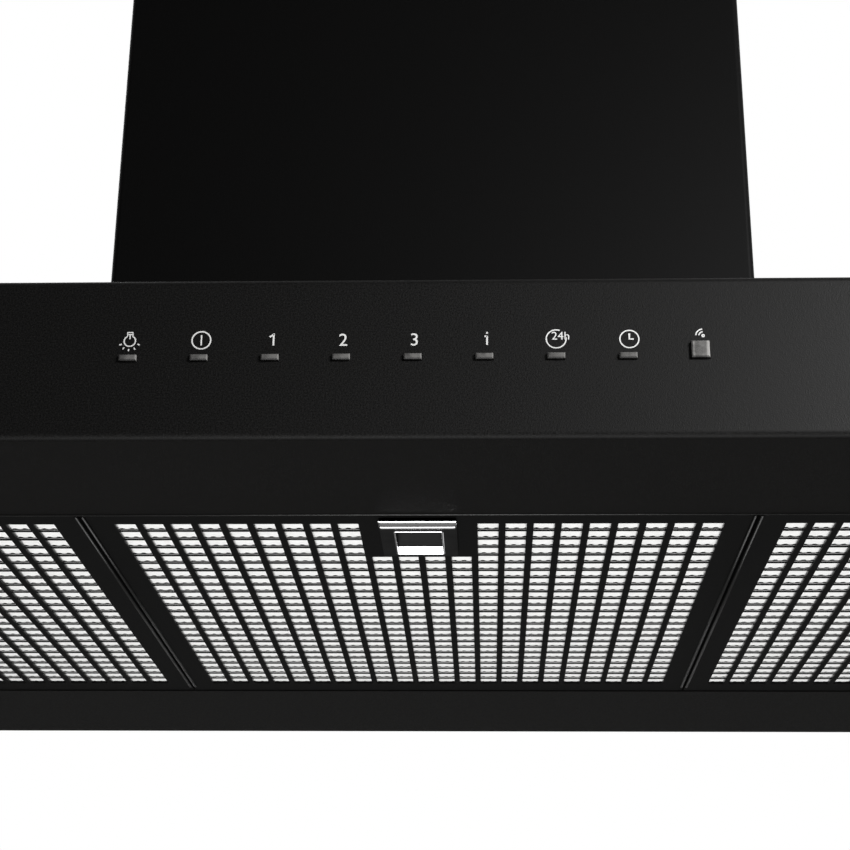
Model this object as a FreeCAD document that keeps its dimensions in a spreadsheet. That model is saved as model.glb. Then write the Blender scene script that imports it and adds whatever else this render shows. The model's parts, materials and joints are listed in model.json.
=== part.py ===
import FreeCAD, Part
import math
import os
import re
import Sketcher

# A wall-mounted chimney hood. Every size is in millimetres.
# Widths run along X from the middle of the hood, and heights along Z.
# The origin is the middle of the four wall bolts, on the wall's face, with the front towards -Y.
# The helpers below take y from the hood's front face and z from the canopy's underside.

SIZES = {
    # canopy
    "hood_width": 898,
    "hood_depth": 500,
    "canopy_height": 61.8,
    "sheet_steel": 1,
    "bend_radius": 2.5,
    "front_strip": 84.7,
    "hem_height": 5,
    "hem_radius": 0.8,
    "top_lip": 15,
    "lip_lap": 8,
    "side_clearance": 0.5,
    "rear_clearance": 1,
    # grease filters
    "filter_width": 267,
    "filter_length": 305,
    "filter_height": 9,
    "filter_gap": 1,
    "filter_front_gap": 1.5,
    "filter_recess": 0.5,
    "filter_sheet": 0.5,
    "filter_corner": 2,
    "cell_pitch": 11.2,
    "bar_width": 2.8,
    "cell_columns": 22,
    "cell_rows": 25,
    "cell_front": 11.3,
    "blank_columns": 4,
    "blank_rows": 4,
    "cross_bar_width": 1.6,
    "cross_bar_height": 0.6,
    "back_slot_columns": 2,
    "pleat_sheet": 0.6,
    "pleat_clearance": 0.3,
    "filter_tab_width": 12,
    "filter_tab_length": 5,
    "filter_tab_sheet": 1.5,
    "filter_tab_offset": 90,
    # filter latch
    "latch_front": 4.6,
    "latch_width": 31,
    "latch_length": 45.9,
    "latch_sheet": 1.2,
    "latch_gap": 0.2,
    "latch_travel": 2.5,
    "latch_clearance": 0.3,
    "latch_corner": 1.5,
    "grip_bar_overhang": 1,
    "grip_bar_length": 9.6,
    "grip_bar_height": 1.6,
    "grip_bar_round": 8,
    "recess_front": 12.6,
    "recess_length": 29.2,
    "recess_width": 18.5,
    "recess_height": 6.9,
    "recess_ramp": 9.3,
    "recess_wall": 1,
    "bezel_rim": 0.8,
    "bezel_height": 0.5,
    "liner_depth": 1.9,
    "liner_sheet": 0.3,
    "tongue_width": 16,
    "tongue_height": 2,
    "spring_wire": 0.6,
    "spring_height": 3,
    "spring_swing": 2.4,
    "spring_leg": 3,
    "spring_stop": 2,
    # controls
    "key_first": -100.1,
    "key_pitch": 25.4,
    "key_height_centre": 30.6,
    "key_width": 6.2,
    "key_height": 2.2,
    "key_reach": 1.5,
    "key_travel": 1,
    "key_clearance": 0.3,
    "key_flange_rim": 1.6,
    "key_flange": 1.5,
    "key_stem": 2.4,
    "key_edge": 0.4,
    "window_size": 6.3,
    "window_height_centre": 32.75,
    "window_reach": 1.7,
    "housing_depth": 12,
    "housing_height": 26,
    "housing_margin": 14,
    "board_thickness": 1.6,
    "board_rim": 2,
    "switch_size": 4.5,
    "switch_depth": 3,
    "plunger_size": 2,
    "plunger_reach": 1,
    # lamps
    "lamp_offset": 300,
    "lamp_radius": 28,
    "lamp_rim": 5,
    "lamp_rim_height": 1.5,
    "lamp_sleeve": 2.5,
    "lamp_sleeve_height": 8,
    "lamp_lens_height": 2.5,
    "lamp_lens_reach": 0.5,
    "lamp_lens_edge": 1,
    "lamp_body_height": 20,
    "lamp_fin_count": 8,
    "lamp_fin_depth": 3,
    "lamp_fin_width": 4,
    # suction box on the canopy's top
    "box_width": 296,
    "box_front": 236,
    "box_height": 250,
    "box_foot": 8,
    "box_opening_rim": 10,
    # blower
    "scroll_radius": 74,
    "scroll_step": 8,
    "scroll_wall": 2,
    "scroll_half_width": 55,
    "scroll_floor": 6,
    "inlet_radius": 54,
    "impeller_radius": 66,
    "impeller_half_width": 48,
    "blade_depth": 11,
    "blade_lean": 4.4,
    "blade_curve": 24,
    "blade_sheet": 1,
    "blade_count": 22,
    "ring_width": 1.5,
    "disc_sheet": 2,
    "hub_radius": 12,
    "hub_length": 18,
    "shaft_radius": 4,
    "shaft_length": 40,
    "shaft_clearance": 0.05,
    "motor_radius": 44,
    "motor_length": 58,
    "motor_gap": 4,
    "motor_edge": 6,
    "motor_arm_width": 14,
    "motor_arm_lap": 6,
    "motor_arm_sheet": 3,
    # outlet collar and flaps
    "collar_radius": 74.5,
    "collar_wall": 2,
    "collar_height": 60,
    "collar_flange": 8,
    "collar_flange_sheet": 2,
    "ledge_height": 6,
    "ledge_sheet": 2,
    "ledge_width": 2.5,
    "flap_sheet": 1,
    "flap_gap": 0.3,
    "flap_edge_gap": 0.7,
    "pin_radius": 2,
    "pin_clearance": 0.08,
    "knuckle_wall": 1.2,
    "knuckle_length": 20,
    # electrics on the suction box
    "electrics_width": 52,
    "electrics_length": 120,
    "electrics_height": 38,
    "electrics_wall": 2,
    "electrics_side": 6,
    "electrics_front": 8,
    "gland_radius": 7,
    "gland_bore": 4,
    "gland_nut": 11,
    "gland_nut_sheet": 10,
    "gland_back": 20,
    "capacitor_radius": 15,
    "capacitor_height": 55,
    "capacitor_side": 118,
    "capacitor_front": 54,
    # wall frame
    "frame_sheet": 2,
    "frame_flange": 12,
    "frame_height": 390,
    "bolt_rise": 325,
    "bolt_spacing_wide": 220,
    "bolt_spacing_high": 90,
    "bolt_hole_radius": 4,
    # chimney
    "chimney_width": 320,
    "chimney_front": 220,
    "chimney_height": 440,
    "chimney_bend": 3,
    "chimney_return": 6,
    "chimney_clearance": 0.7,
    "chimney_showing": 200,
    "vent_count": 6,
    "vent_length": 70,
    "vent_width": 6,
    "vent_pitch": 14,
    "vent_drop": 30,
    "bracket_height": 25,
    "bracket_arm": 32,
    "bracket_slot_length": 24,
    "bracket_slot_radius": 3,
    "bracket_slot_offset": 90,
    # screws
    "screw_radius": 2,
    "screw_clearance": 0.2,
    "screw_head_radius": 3.5,
    "screw_head_height": 2,
    "screw_length": 9,
    "screw_height": 5,
}

doc = FreeCAD.newDocument("ChimneyHood")
sheet = doc.addObject("Spreadsheet::Sheet", "Sizes")
for row, (name, value) in enumerate(SIZES.items(), 1):
    sheet.set(f"A{row}", name)
    sheet.set(f"B{row}", str(value))
    sheet.setAlias(f"B{row}", name)
doc.recompute()

ALONG_X = FreeCAD.Rotation(FreeCAD.Vector(0, 1, 0), 90)
ALONG_Y = FreeCAD.Rotation(FreeCAD.Vector(1, 0, 0), -90)
ALONG_Z = FreeCAD.Rotation()
WORD = re.compile(r"[a-z_]+")


# ---------------------------------------------------------------- helpers

def linked(text):
    """An expression on the sheet's cells, from plain size names."""
    return WORD.sub(lambda m: "Sizes." + m[0] if m[0] in SIZES else m[0], str(text))


def size(text):
    """The present value of an expression."""
    return float(sheet.evalExpression(linked(text).replace("Sizes.", "")))


def seat(piece, x, y, z, turn=ALONG_Z):
    """Places a piece: x from the middle, y from the front face, z from the canopy's underside."""
    piece.Placement = FreeCAD.Placement(FreeCAD.Vector(), turn)
    piece.setExpression("Placement.Base.x", linked(x))
    piece.setExpression("Placement.Base.y", linked(f"{y} - hood_depth"))
    piece.setExpression("Placement.Base.z", linked(f"{z} - canopy_height - bolt_rise"))
    return piece


def block(name, corner, length, width, height):
    piece = doc.addObject("Part::Box", name)
    piece.setExpression("Length", linked(length))
    piece.setExpression("Width", linked(width))
    piece.setExpression("Height", linked(height))
    return seat(piece, *corner)


def rod(name, start, radius, length, turn=ALONG_Z):
    piece = doc.addObject("Part::Cylinder", name)
    piece.setExpression("Radius", linked(radius))
    piece.setExpression("Height", linked(length))
    return seat(piece, *start, turn)


def fuse(name, pieces):
    joined = doc.addObject("Part::MultiFuse", name)
    joined.Shapes = pieces
    joined.Refine = True
    return joined


def cut(name, base, tools):
    tool = tools[0] if len(tools) == 1 else fuse(name + "_tools", tools)
    piece = doc.addObject("Part::Cut", name)
    piece.Base = base
    piece.Tool = tool
    piece.Refine = True
    return piece


def group(name, pieces):
    compound = doc.addObject("Part::Compound", name)
    compound.Links = pieces
    return compound


def rounded(name, base, radius, chosen):
    """Rounds the edges of a piece for which chosen(edge) is true."""
    doc.recompute()
    piece = doc.addObject("Part::Fillet", name)
    piece.Base = base
    value = size(radius)
    numbered = enumerate(base.Shape.Edges, 1)
    piece.Edges = [(number, value, value) for number, edge in numbered if chosen(edge)]
    return piece


def chamfered(name, base, width, chosen):
    """Bevels the edges of a piece for which chosen(edge) is true."""
    doc.recompute()
    piece = doc.addObject("Part::Chamfer", name)
    piece.Base = base
    value = size(width)
    numbered = enumerate(base.Shape.Edges, 1)
    piece.Edges = [(number, value, value) for number, edge in numbered if chosen(edge)]
    return piece


def runs_along(edge, axis):
    box = edge.BoundBox
    spans = {"x": box.XLength, "y": box.YLength, "z": box.ZLength}
    return spans[axis] > 0.1 and all(spans[other] < 0.01 for other in spans if other != axis)


def new_body(name, x, y, z):
    body = doc.addObject("PartDesign::Body", name)
    body.AllowCompound = True
    return seat(body, x, y, z)


def new_sketch(body, name, plane, rise="0"):
    drawing = body.newObject("Sketcher::SketchObject", name)
    support = [feature for feature in body.Origin.OriginFeatures if feature.Role == plane][0]
    drawing.AttachmentSupport = (support, "")
    drawing.MapMode = "FlatFace"
    drawing.setExpression("AttachmentOffset.Base.z", linked(rise))
    return drawing


def fix(drawing, kind, geometry, point, text):
    """Ties one coordinate of a point to an expression."""
    number = drawing.addConstraint(Sketcher.Constraint(kind, -1, 1, geometry, point, size(text)))
    drawing.setExpression(f"Constraints[{number}]", linked(text))


def outline(drawing, corners, arcs=None):
    """A closed outline through corners. arcs maps a side's number to its radius and its bulge, 1 or -1."""
    arcs = arcs or {}
    spots = [FreeCAD.Vector(size(across), size(up), 0) for across, up in corners]
    sides = []
    for number, start in enumerate(spots):
        end = spots[(number + 1) % len(spots)]
        if number in arcs:
            radius, bulge = arcs[number]
            chord = end - start
            reach = size(radius)
            sagitta = reach - math.sqrt(max(reach ** 2 - chord.Length ** 2 / 4, 0))
            normal = FreeCAD.Vector(chord.y, -chord.x, 0).normalize()
            side = Part.Arc(start, (start + end) / 2 + normal * sagitta * bulge, end)
        else:
            side = Part.LineSegment(start, end)
        sides.append(drawing.addGeometry(side))
    starts = {}
    for number, side in enumerate(sides):
        near = drawing.getPoint(side, 1).distanceToPoint(spots[number]) < 1e-6
        starts[number] = 1 if near else 2
    for number, side in enumerate(sides):
        following = (number + 1) % len(sides)
        drawing.addConstraint(
            Sketcher.Constraint("Coincident", side, 3 - starts[number], sides[following], starts[following])
        )
    for number, (across, up) in enumerate(corners):
        fix(drawing, "DistanceX", sides[number], starts[number], across)
        fix(drawing, "DistanceY", sides[number], starts[number], up)
    for number, (radius, _) in arcs.items():
        tie = drawing.addConstraint(Sketcher.Constraint("Radius", sides[number], size(radius)))
        drawing.setExpression(f"Constraints[{tie}]", linked(radius))
    return drawing


def rectangle(drawing, left, low, right, high):
    return outline(drawing, [(left, low), (right, low), (right, high), (left, high)])


def ring(drawing, radius, across="0", up="0"):
    """A circle."""
    middle = FreeCAD.Vector(size(across), size(up), 0)
    number = drawing.addGeometry(Part.Circle(middle, FreeCAD.Vector(0, 0, 1), size(radius)))
    fix(drawing, "DistanceX", number, 3, across)
    fix(drawing, "DistanceY", number, 3, up)
    tie = drawing.addConstraint(Sketcher.Constraint("Radius", number, size(radius)))
    drawing.setExpression(f"Constraints[{tie}]", linked(radius))
    return drawing


def pad(body, drawing, length, side="One side", back=False):
    feature = body.newObject("PartDesign::Pad", drawing.Name + "_pad")
    feature.Profile = drawing
    feature.setExpression("Length", linked(length))
    feature.SideType = side
    feature.Reversed = back
    return feature


def pocket(body, drawing, length, side="One side", back=False):
    feature = body.newObject("PartDesign::Pocket", drawing.Name + "_pocket")
    feature.Profile = drawing
    feature.setExpression("Length", linked(length))
    feature.SideType = side
    feature.Reversed = back
    return feature


def repeat(body, feature, drawing, axis, step, count):
    """Repeats a feature in a row."""
    row_of = body.newObject("PartDesign::LinearPattern", feature.Name + "_row")
    row_of.Originals = [feature]
    row_of.Direction = (drawing, [axis])
    row_of.Mode = "Spacing"
    row_of.setExpression("Offset", linked(step))
    row_of.setExpression("Occurrences", linked(count))
    body.Tip = row_of
    return row_of


def turn_about(body, feature, drawing, count):
    """Repeats a feature round the sketch's normal."""
    round_of = body.newObject("PartDesign::PolarPattern", feature.Name + "_round")
    round_of.Originals = [feature]
    round_of.Axis = (drawing, ["N_Axis"])
    round_of.setExpression("Occurrences", linked(count))
    body.Tip = round_of
    return round_of


def revolve(body, drawing):
    feature = body.newObject("PartDesign::Revolution", drawing.Name + "_turn")
    feature.Profile = drawing
    feature.ReferenceAxis = (drawing, ["V_Axis"])
    feature.Angle = 360
    return feature


# ---------------------------------------------------------------- shared places

FILTER_PITCH = "(filter_width + filter_gap)"
BAY_HALF = "(1.5 * filter_width + filter_gap + side_clearance)"
FILTER_FRONT = "(front_strip + filter_front_gap)"
BAY_REAR = f"({FILTER_FRONT} + filter_length + rear_clearance)"
FIRST_COLUMN = "((filter_width - cell_columns * cell_pitch + bar_width) / 2)"
FIRST_ROW = "cell_front"
CELL_WIDTH = "(cell_pitch - bar_width)"
GRID_LENGTH = "(cell_rows * cell_pitch - cross_bar_width)"
BLANK_LENGTH = "(blank_rows * cell_pitch)"
BLANK_HALF = "(blank_columns * cell_pitch / 2 + bar_width / 2)"
LATCH_LOW = "(filter_recess - latch_gap - latch_sheet)"
RECESS_FRONT = "(latch_front + recess_front)"
TONGUE_LOW = "(hem_height + latch_clearance)"
SPRING_LEGS = 6
SPRING_LOW = "(filter_recess + filter_sheet + latch_clearance)"
SPRING_WIDTH = "(spring_swing + spring_wire)"
SPRING_FRONT = f"({RECESS_FRONT} + latch_clearance)"
SPRING_REAR = f"({SPRING_FRONT} + {SPRING_LEGS} * spring_leg)"
WALL_BACK = "(hood_depth - frame_sheet)"
BOX_TOP = "(canopy_height + box_height)"
COLLAR_Y = f"((box_front + {WALL_BACK}) / 2)"
SCROLL_Y = f"({COLLAR_Y} + (scroll_radius + 3 * scroll_step) / 2)"
SCROLL_Z = "(canopy_height + scroll_floor + scroll_radius + scroll_step + scroll_wall)"
FAN_Y = f"({SCROLL_Y} - scroll_step / 2)"
FAN_Z = f"({SCROLL_Z} + scroll_step / 2)"
KEYS = ["light", "power", "speed_1", "speed_2", "speed_3", "boost", "day", "timer"]
SUB_PARTS = []


def keep(piece, label):
    """Marks a finished sub-part, to be written under its label."""
    piece.Label = label
    SUB_PARTS.append(piece)
    return piece


def key_x(number):
    return f"(key_first + {number} * key_pitch)"


WINDOW_X = key_x(len(KEYS))


# ---------------------------------------------------------------- canopy

def front_panel():
    """The front face with its top lip, the strip below it and the front hem, bent from one sheet."""
    body = new_body("front_sheet", "0", "0", "0")
    bent = new_sketch(body, "front_bends", "YZ_Plane")
    inner = "(bend_radius - sheet_steel)"
    outline(
        bent,
        [
            ("top_lip", "canopy_height"),
            ("bend_radius", "canopy_height"),
            ("0", "canopy_height - bend_radius"),
            ("0", "bend_radius"),
            ("bend_radius", "0"),
            ("front_strip - sheet_steel", "0"),
            ("front_strip - sheet_steel", "sheet_steel"),
            ("bend_radius", "sheet_steel"),
            ("sheet_steel", "bend_radius"),
            ("sheet_steel", "canopy_height - bend_radius"),
            ("bend_radius", "canopy_height - sheet_steel"),
            ("top_lip", "canopy_height - sheet_steel"),
        ],
        {1: ("bend_radius", 1), 3: ("bend_radius", 1), 7: (inner, -1), 9: (inner, -1)},
    )
    pad(body, bent, "hood_width", "Symmetric")
    hem = new_sketch(body, "front_hem", "YZ_Plane")
    outline(
        hem,
        [
            ("front_strip - sheet_steel", "0"),
            ("front_strip - hem_radius", "0"),
            ("front_strip", "hem_radius"),
            ("front_strip", "hem_height"),
            ("front_strip - sheet_steel", "hem_height"),
        ],
        {1: ("hem_radius", 1)},
    )
    pad(body, hem, "hood_width - 2 * sheet_steel", "Symmetric")
    slot = new_sketch(body, "key_slot", "XZ_Plane")
    half_width = "(key_width / 2 + key_clearance)"
    half_height = "(key_height / 2 + key_clearance)"
    rectangle(
        slot,
        f"key_first - {half_width}", f"key_height_centre - {half_height}",
        f"key_first + {half_width}", f"key_height_centre + {half_height}",
    )
    slots = pocket(body, slot, "4 * sheet_steel", "Symmetric")
    repeat(body, slots, slot, "H_Axis", "key_pitch", str(len(KEYS)))
    window = new_sketch(body, "window_slot", "XZ_Plane")
    reach = "(window_size / 2 + key_clearance)"
    rectangle(
        window,
        f"{WINDOW_X} - {reach}", f"window_height_centre - {reach}",
        f"{WINDOW_X} + {reach}", f"window_height_centre + {reach}",
    )
    pocket(body, window, "4 * sheet_steel", "Symmetric")
    lamps = new_sketch(body, "lamp_holes", "XY_Plane")
    for sign in (-1, 1):
        ring(lamps, "lamp_radius", f"{sign} * lamp_offset", "front_strip / 2")
    pocket(body, lamps, "4 * sheet_steel", "Symmetric")
    keep(body, "front_panel")


def side_panel(side, sign):
    """A side wall, with the strip below it and the side hem."""
    body = new_body(f"{side}_side", f"{sign} * hood_width / 2", "0", "0")
    wall = new_sketch(body, f"{side}_wall", "YZ_Plane")
    outline(
        wall,
        [
            ("sheet_steel", "bend_radius"),
            ("bend_radius", "sheet_steel"),
            ("front_strip", "sheet_steel"),
            ("front_strip", "0"),
            (BAY_REAR, "0"),
            (BAY_REAR, "sheet_steel"),
            ("hood_depth - sheet_steel", "sheet_steel"),
            ("hood_depth - sheet_steel", "canopy_height - sheet_steel"),
            ("bend_radius", "canopy_height - sheet_steel"),
            ("sheet_steel", "canopy_height - bend_radius"),
        ],
    )
    pad(body, wall, "sheet_steel", back=sign > 0)
    inward = -sign
    width = f"(hood_width / 2 - {BAY_HALF})"
    strip = new_sketch(body, f"{side}_strip", "XY_Plane")
    rectangle(strip, "0", "front_strip", f"{inward} * {width}", BAY_REAR)
    pad(body, strip, "sheet_steel")
    hem = new_sketch(body, f"{side}_hem", "XY_Plane")
    rectangle(hem, f"{inward} * ({width} - sheet_steel)", "front_strip", f"{inward} * {width}", BAY_REAR)
    pad(body, hem, "hem_height")
    return body


def rear_panel():
    """The rear wall, with the strip and the hem that the filters hang on."""
    body = new_body("rear_sheet", "0", "0", "0")
    bent = new_sketch(body, "rear_bends", "YZ_Plane")
    outline(
        bent,
        [
            (BAY_REAR, "0"),
            ("hood_depth", "0"),
            ("hood_depth", "canopy_height - sheet_steel"),
            ("hood_depth - sheet_steel", "canopy_height - sheet_steel"),
            ("hood_depth - sheet_steel", "sheet_steel"),
            (BAY_REAR, "sheet_steel"),
        ],
    )
    pad(body, bent, "hood_width", "Symmetric")
    hem = new_sketch(body, "rear_hem", "YZ_Plane")
    rectangle(hem, BAY_REAR, "0", f"{BAY_REAR} + sheet_steel", "hem_height")
    pad(body, hem, "hood_width - 2 * sheet_steel", "Symmetric")
    keep(body, "rear_panel")


def canopy_top():
    """The top plate with the suction opening, and a flange under the front panel's lip."""
    top = "canopy_height - sheet_steel"
    plate = block(
        "top_plate", ("-hood_width / 2", "top_lip", top), "hood_width", "hood_depth - top_lip", "sheet_steel"
    )
    flange = block(
        "top_flange", ("-hood_width / 2 + sheet_steel", "top_lip - lip_lap", f"{top} - sheet_steel"),
        "hood_width - 2 * sheet_steel", "2 * lip_lap", "sheet_steel",
    )
    hole = block(
        "suction_hole",
        ("-box_width / 2 + box_opening_rim", "box_front + box_opening_rim", f"{top} - sheet_steel"),
        "box_width - 2 * box_opening_rim", f"{WALL_BACK} - box_front - 2 * box_opening_rim",
        "3 * sheet_steel",
    )
    keep(cut("top_holed", fuse("top_flanged", [plate, flange]), [hole]), "canopy_top")


# ---------------------------------------------------------------- grease filters

def slot_row(body, name, left, low, high, count):
    """A row of long slots, one column pitch apart, through a flat sheet."""
    drawing = new_sketch(body, name, "XY_Plane")
    rectangle(drawing, left, low, f"{left} + {CELL_WIDTH}", high)
    slots = pocket(body, drawing, "filter_sheet * 4", "Symmetric")
    return repeat(body, slots, drawing, "H_Axis", "cell_pitch", count)


def filter_frame(name, middle):
    """A tray with its slotted face below; the middle slots start behind the latch."""
    body = new_body(name, f"{middle} - filter_width / 2", FILTER_FRONT, "filter_recess")
    base = new_sketch(body, name + "_base", "XY_Plane")
    rectangle(base, "0", "0", "filter_width", "filter_length")
    solid = pad(body, base, "filter_height")
    doc.recompute()
    corners = [
        f"Edge{number}" for number, edge in enumerate(solid.Shape.Edges, 1) if runs_along(edge, "z")
    ]
    soft = body.newObject("PartDesign::Fillet", name + "_corners")
    soft.Base = (solid, corners)
    soft.setExpression("Radius", linked("filter_corner"))
    inside = new_sketch(body, name + "_inside", "XY_Plane", "filter_sheet")
    rectangle(
        inside, "filter_sheet", "filter_sheet", "filter_width - filter_sheet", "filter_length - filter_sheet"
    )
    pocket(body, inside, "filter_height", back=True)
    side_columns = "(cell_columns - blank_columns) / 2"
    rear = f"{FIRST_ROW} + {GRID_LENGTH}"
    slot_row(body, name + "_left_slots", FIRST_COLUMN, FIRST_ROW, rear, side_columns)
    right = f"{FIRST_COLUMN} + (cell_columns + blank_columns) / 2 * cell_pitch"
    slot_row(body, name + "_right_slots", right, FIRST_ROW, rear, side_columns)
    middle_left = f"{FIRST_COLUMN} + {side_columns} * cell_pitch"
    middle_front = f"{FIRST_ROW} + {BLANK_LENGTH}"
    slot_row(body, name + "_middle_slots", middle_left, middle_front, rear, "blank_columns")
    half = "recess_width / 2 + recess_wall + latch_clearance"
    opening = new_sketch(body, name + "_latch_opening", "XY_Plane")
    rectangle(
        opening,
        f"filter_width / 2 - ({half})", f"{RECESS_FRONT} - recess_wall - latch_clearance",
        f"filter_width / 2 + {half}", f"{RECESS_FRONT} + recess_length + latch_travel",
    )
    pocket(body, opening, "filter_sheet * 4", "Symmetric")
    post = new_sketch(body, name + "_spring_post", "XY_Plane", "filter_sheet / 2")
    side = "(filter_width / 2 + recess_width / 2 + recess_wall + latch_clearance)"
    rectangle(
        post, side, f"{SPRING_REAR} + latch_clearance",
        f"{side} + {SPRING_WIDTH}", f"{SPRING_REAR} + latch_clearance + spring_stop",
    )
    pad(body, post, f"{SPRING_LOW} - filter_recess - filter_sheet / 2 + spring_height")
    mouth = new_sketch(body, name + "_tongue_mouth", "XZ_Plane")
    rectangle(
        mouth,
        "filter_width / 2 - tongue_width / 2 - latch_clearance",
        f"{TONGUE_LOW} - filter_recess - latch_clearance",
        "filter_width / 2 + tongue_width / 2 + latch_clearance",
        f"{TONGUE_LOW} - filter_recess + tongue_height + latch_clearance",
    )
    pocket(body, mouth, "filter_sheet * 4", "Symmetric")
    for side, sign in (("left", "-"), ("right", "+")):
        tab = new_sketch(body, f"{name}_{side}_tab", "XY_Plane", f"{TONGUE_LOW} - filter_recess")
        centre = f"(filter_width / 2 {sign} filter_tab_offset)"
        rectangle(
            tab, f"{centre} - filter_tab_width / 2", "filter_length - filter_sheet",
            f"{centre} + filter_tab_width / 2", "filter_length + filter_tab_length",
        )
        pad(body, tab, "filter_tab_sheet")
    keep(body, name)


def filter_cross_bars(name, middle):
    """Flat bars laid across the slots, which close them into square cells."""
    low = "filter_recess + filter_sheet"
    length = "filter_width - 2 * filter_sheet - 2 * latch_clearance"
    short = f"(filter_width / 2 - filter_sheet - latch_clearance - {BLANK_HALF})"
    left = f"{middle} - filter_width / 2 + filter_sheet + latch_clearance"
    right = f"{middle} + {BLANK_HALF}"
    bars = []
    for gap in range(1, int(size("cell_rows"))):
        y = f"{FILTER_FRONT} + {FIRST_ROW} + {gap} * cell_pitch - cross_bar_width"
        spans = [(left, length)] if gap > size("blank_rows") else [(left, short), (right, short)]
        for number, (start, span) in enumerate(spans):
            bars.append(
                block(f"{name}_{gap}_{number}", (start, y, low), span, "cross_bar_width", "cross_bar_height")
            )
    keep(group(name, bars), name)


def filter_mesh(name, middle):
    """Pleated aluminium mesh between the cross bars and the back plate, notched round the latch."""
    low = "filter_recess + filter_sheet + cross_bar_height + pleat_clearance"
    high = "(filter_height - 2 * filter_sheet - cross_bar_height - 2 * pleat_clearance)"
    body = new_body(name, middle, FILTER_FRONT, low)
    pleat = new_sketch(body, name + "_pleat", "YZ_Plane")
    start = FIRST_ROW
    outline(
        pleat,
        [
            (start, "0"),
            (f"{start} + cell_pitch", f"{high} - pleat_sheet"),
            (f"{start} + 2 * cell_pitch", "0"),
            (f"{start} + 2 * cell_pitch", "pleat_sheet"),
            (f"{start} + cell_pitch", high),
            (start, "pleat_sheet"),
        ],
    )
    width = "filter_width - 2 * filter_sheet - 2 * latch_clearance"
    wave = pad(body, pleat, width, "Symmetric")
    pleats = "ceil(cell_rows / 2)"
    repeat(body, wave, pleat, "H_Axis", "2 * cell_pitch", pleats)
    notch = new_sketch(body, name + "_notch", "XY_Plane")
    rectangle(notch, f"-{BLANK_HALF}", "0", BLANK_HALF, f"{FIRST_ROW} + {BLANK_LENGTH} + latch_travel")
    pocket(body, notch, "2 * filter_height", "Symmetric")
    keep(body, name)


def filter_back_plate(name, middle):
    """The slotted sheet that closes the cassette above the mesh."""
    low = "filter_recess + filter_height - filter_sheet"
    body = new_body(name, f"{middle} - filter_width / 2", FILTER_FRONT, low)
    base = new_sketch(body, name + "_base", "XY_Plane")
    edge = "filter_sheet + latch_clearance / 2"
    rectangle(base, edge, edge, f"filter_width - ({edge})", f"filter_length - ({edge})")
    pad(body, base, "filter_sheet")
    slot = new_sketch(body, name + "_slot", "XY_Plane")
    step = "(back_slot_columns * cell_pitch)"
    rectangle(
        slot, FIRST_COLUMN, f"{FIRST_ROW} + {BLANK_LENGTH}",
        f"{FIRST_COLUMN} + {step} - bar_width", f"{FIRST_ROW} + {GRID_LENGTH}",
    )
    slots = pocket(body, slot, "filter_sheet * 4", "Symmetric")
    repeat(body, slots, slot, "H_Axis", step, "floor(cell_columns / back_slot_columns)")
    keep(body, name)


def filter_latch(name, middle):
    """The slider: a plate under the filter's face, a finger recess through it, a tongue and spring lugs."""
    body = new_body(name, middle, FILTER_FRONT, LATCH_LOW)
    plate = new_sketch(body, name + "_plate", "XY_Plane")
    rectangle(plate, "-latch_width / 2", "latch_front", "latch_width / 2", "latch_front + latch_length")
    solid = pad(body, plate, "latch_sheet")
    doc.recompute()
    corners = [
        f"Edge{number}" for number, edge in enumerate(solid.Shape.Edges, 1) if runs_along(edge, "z")
    ]
    soft = body.newObject("PartDesign::Fillet", name + "_corners")
    soft.Base = (solid, corners)
    soft.setExpression("Radius", linked("latch_corner"))
    rear = f"({RECESS_FRONT} + recess_length)"
    tray = new_sketch(body, name + "_tray", "YZ_Plane")
    outline(
        tray,
        [
            (f"{RECESS_FRONT} - recess_wall", "latch_sheet / 2"),
            (rear, "latch_sheet / 2"),
            (f"{rear} - recess_ramp + recess_wall", "recess_height + recess_wall"),
            (f"{RECESS_FRONT} - recess_wall", "recess_height + recess_wall"),
        ],
    )
    pad(body, tray, "recess_width + 2 * recess_wall", "Symmetric")
    tongue = new_sketch(body, name + "_tongue", "XY_Plane", f"{TONGUE_LOW} - {LATCH_LOW}")
    rectangle(
        tongue, "-tongue_width / 2", "-filter_front_gap + latch_clearance",
        "tongue_width / 2", f"{RECESS_FRONT} - recess_wall / 2",
    )
    pad(body, tongue, "tongue_height")
    lug = new_sketch(body, name + "_lug", "XY_Plane", f"{SPRING_LOW} - {LATCH_LOW}")
    rectangle(
        lug, "recess_width / 2 + recess_wall / 2", f"{RECESS_FRONT} - spring_stop",
        f"recess_width / 2 + recess_wall + latch_clearance + {SPRING_WIDTH}", RECESS_FRONT,
    )
    pad(body, lug, "spring_height")
    recess = new_sketch(body, name + "_recess", "YZ_Plane")
    outline(
        recess,
        [
            (RECESS_FRONT, "-latch_sheet"),
            (f"{rear} + recess_ramp * latch_sheet / recess_height", "-latch_sheet"),
            (f"{rear} - recess_ramp", "recess_height"),
            (RECESS_FRONT, "recess_height"),
        ],
    )
    pocket(body, recess, "recess_width", "Symmetric")
    keep(body, name)


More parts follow.
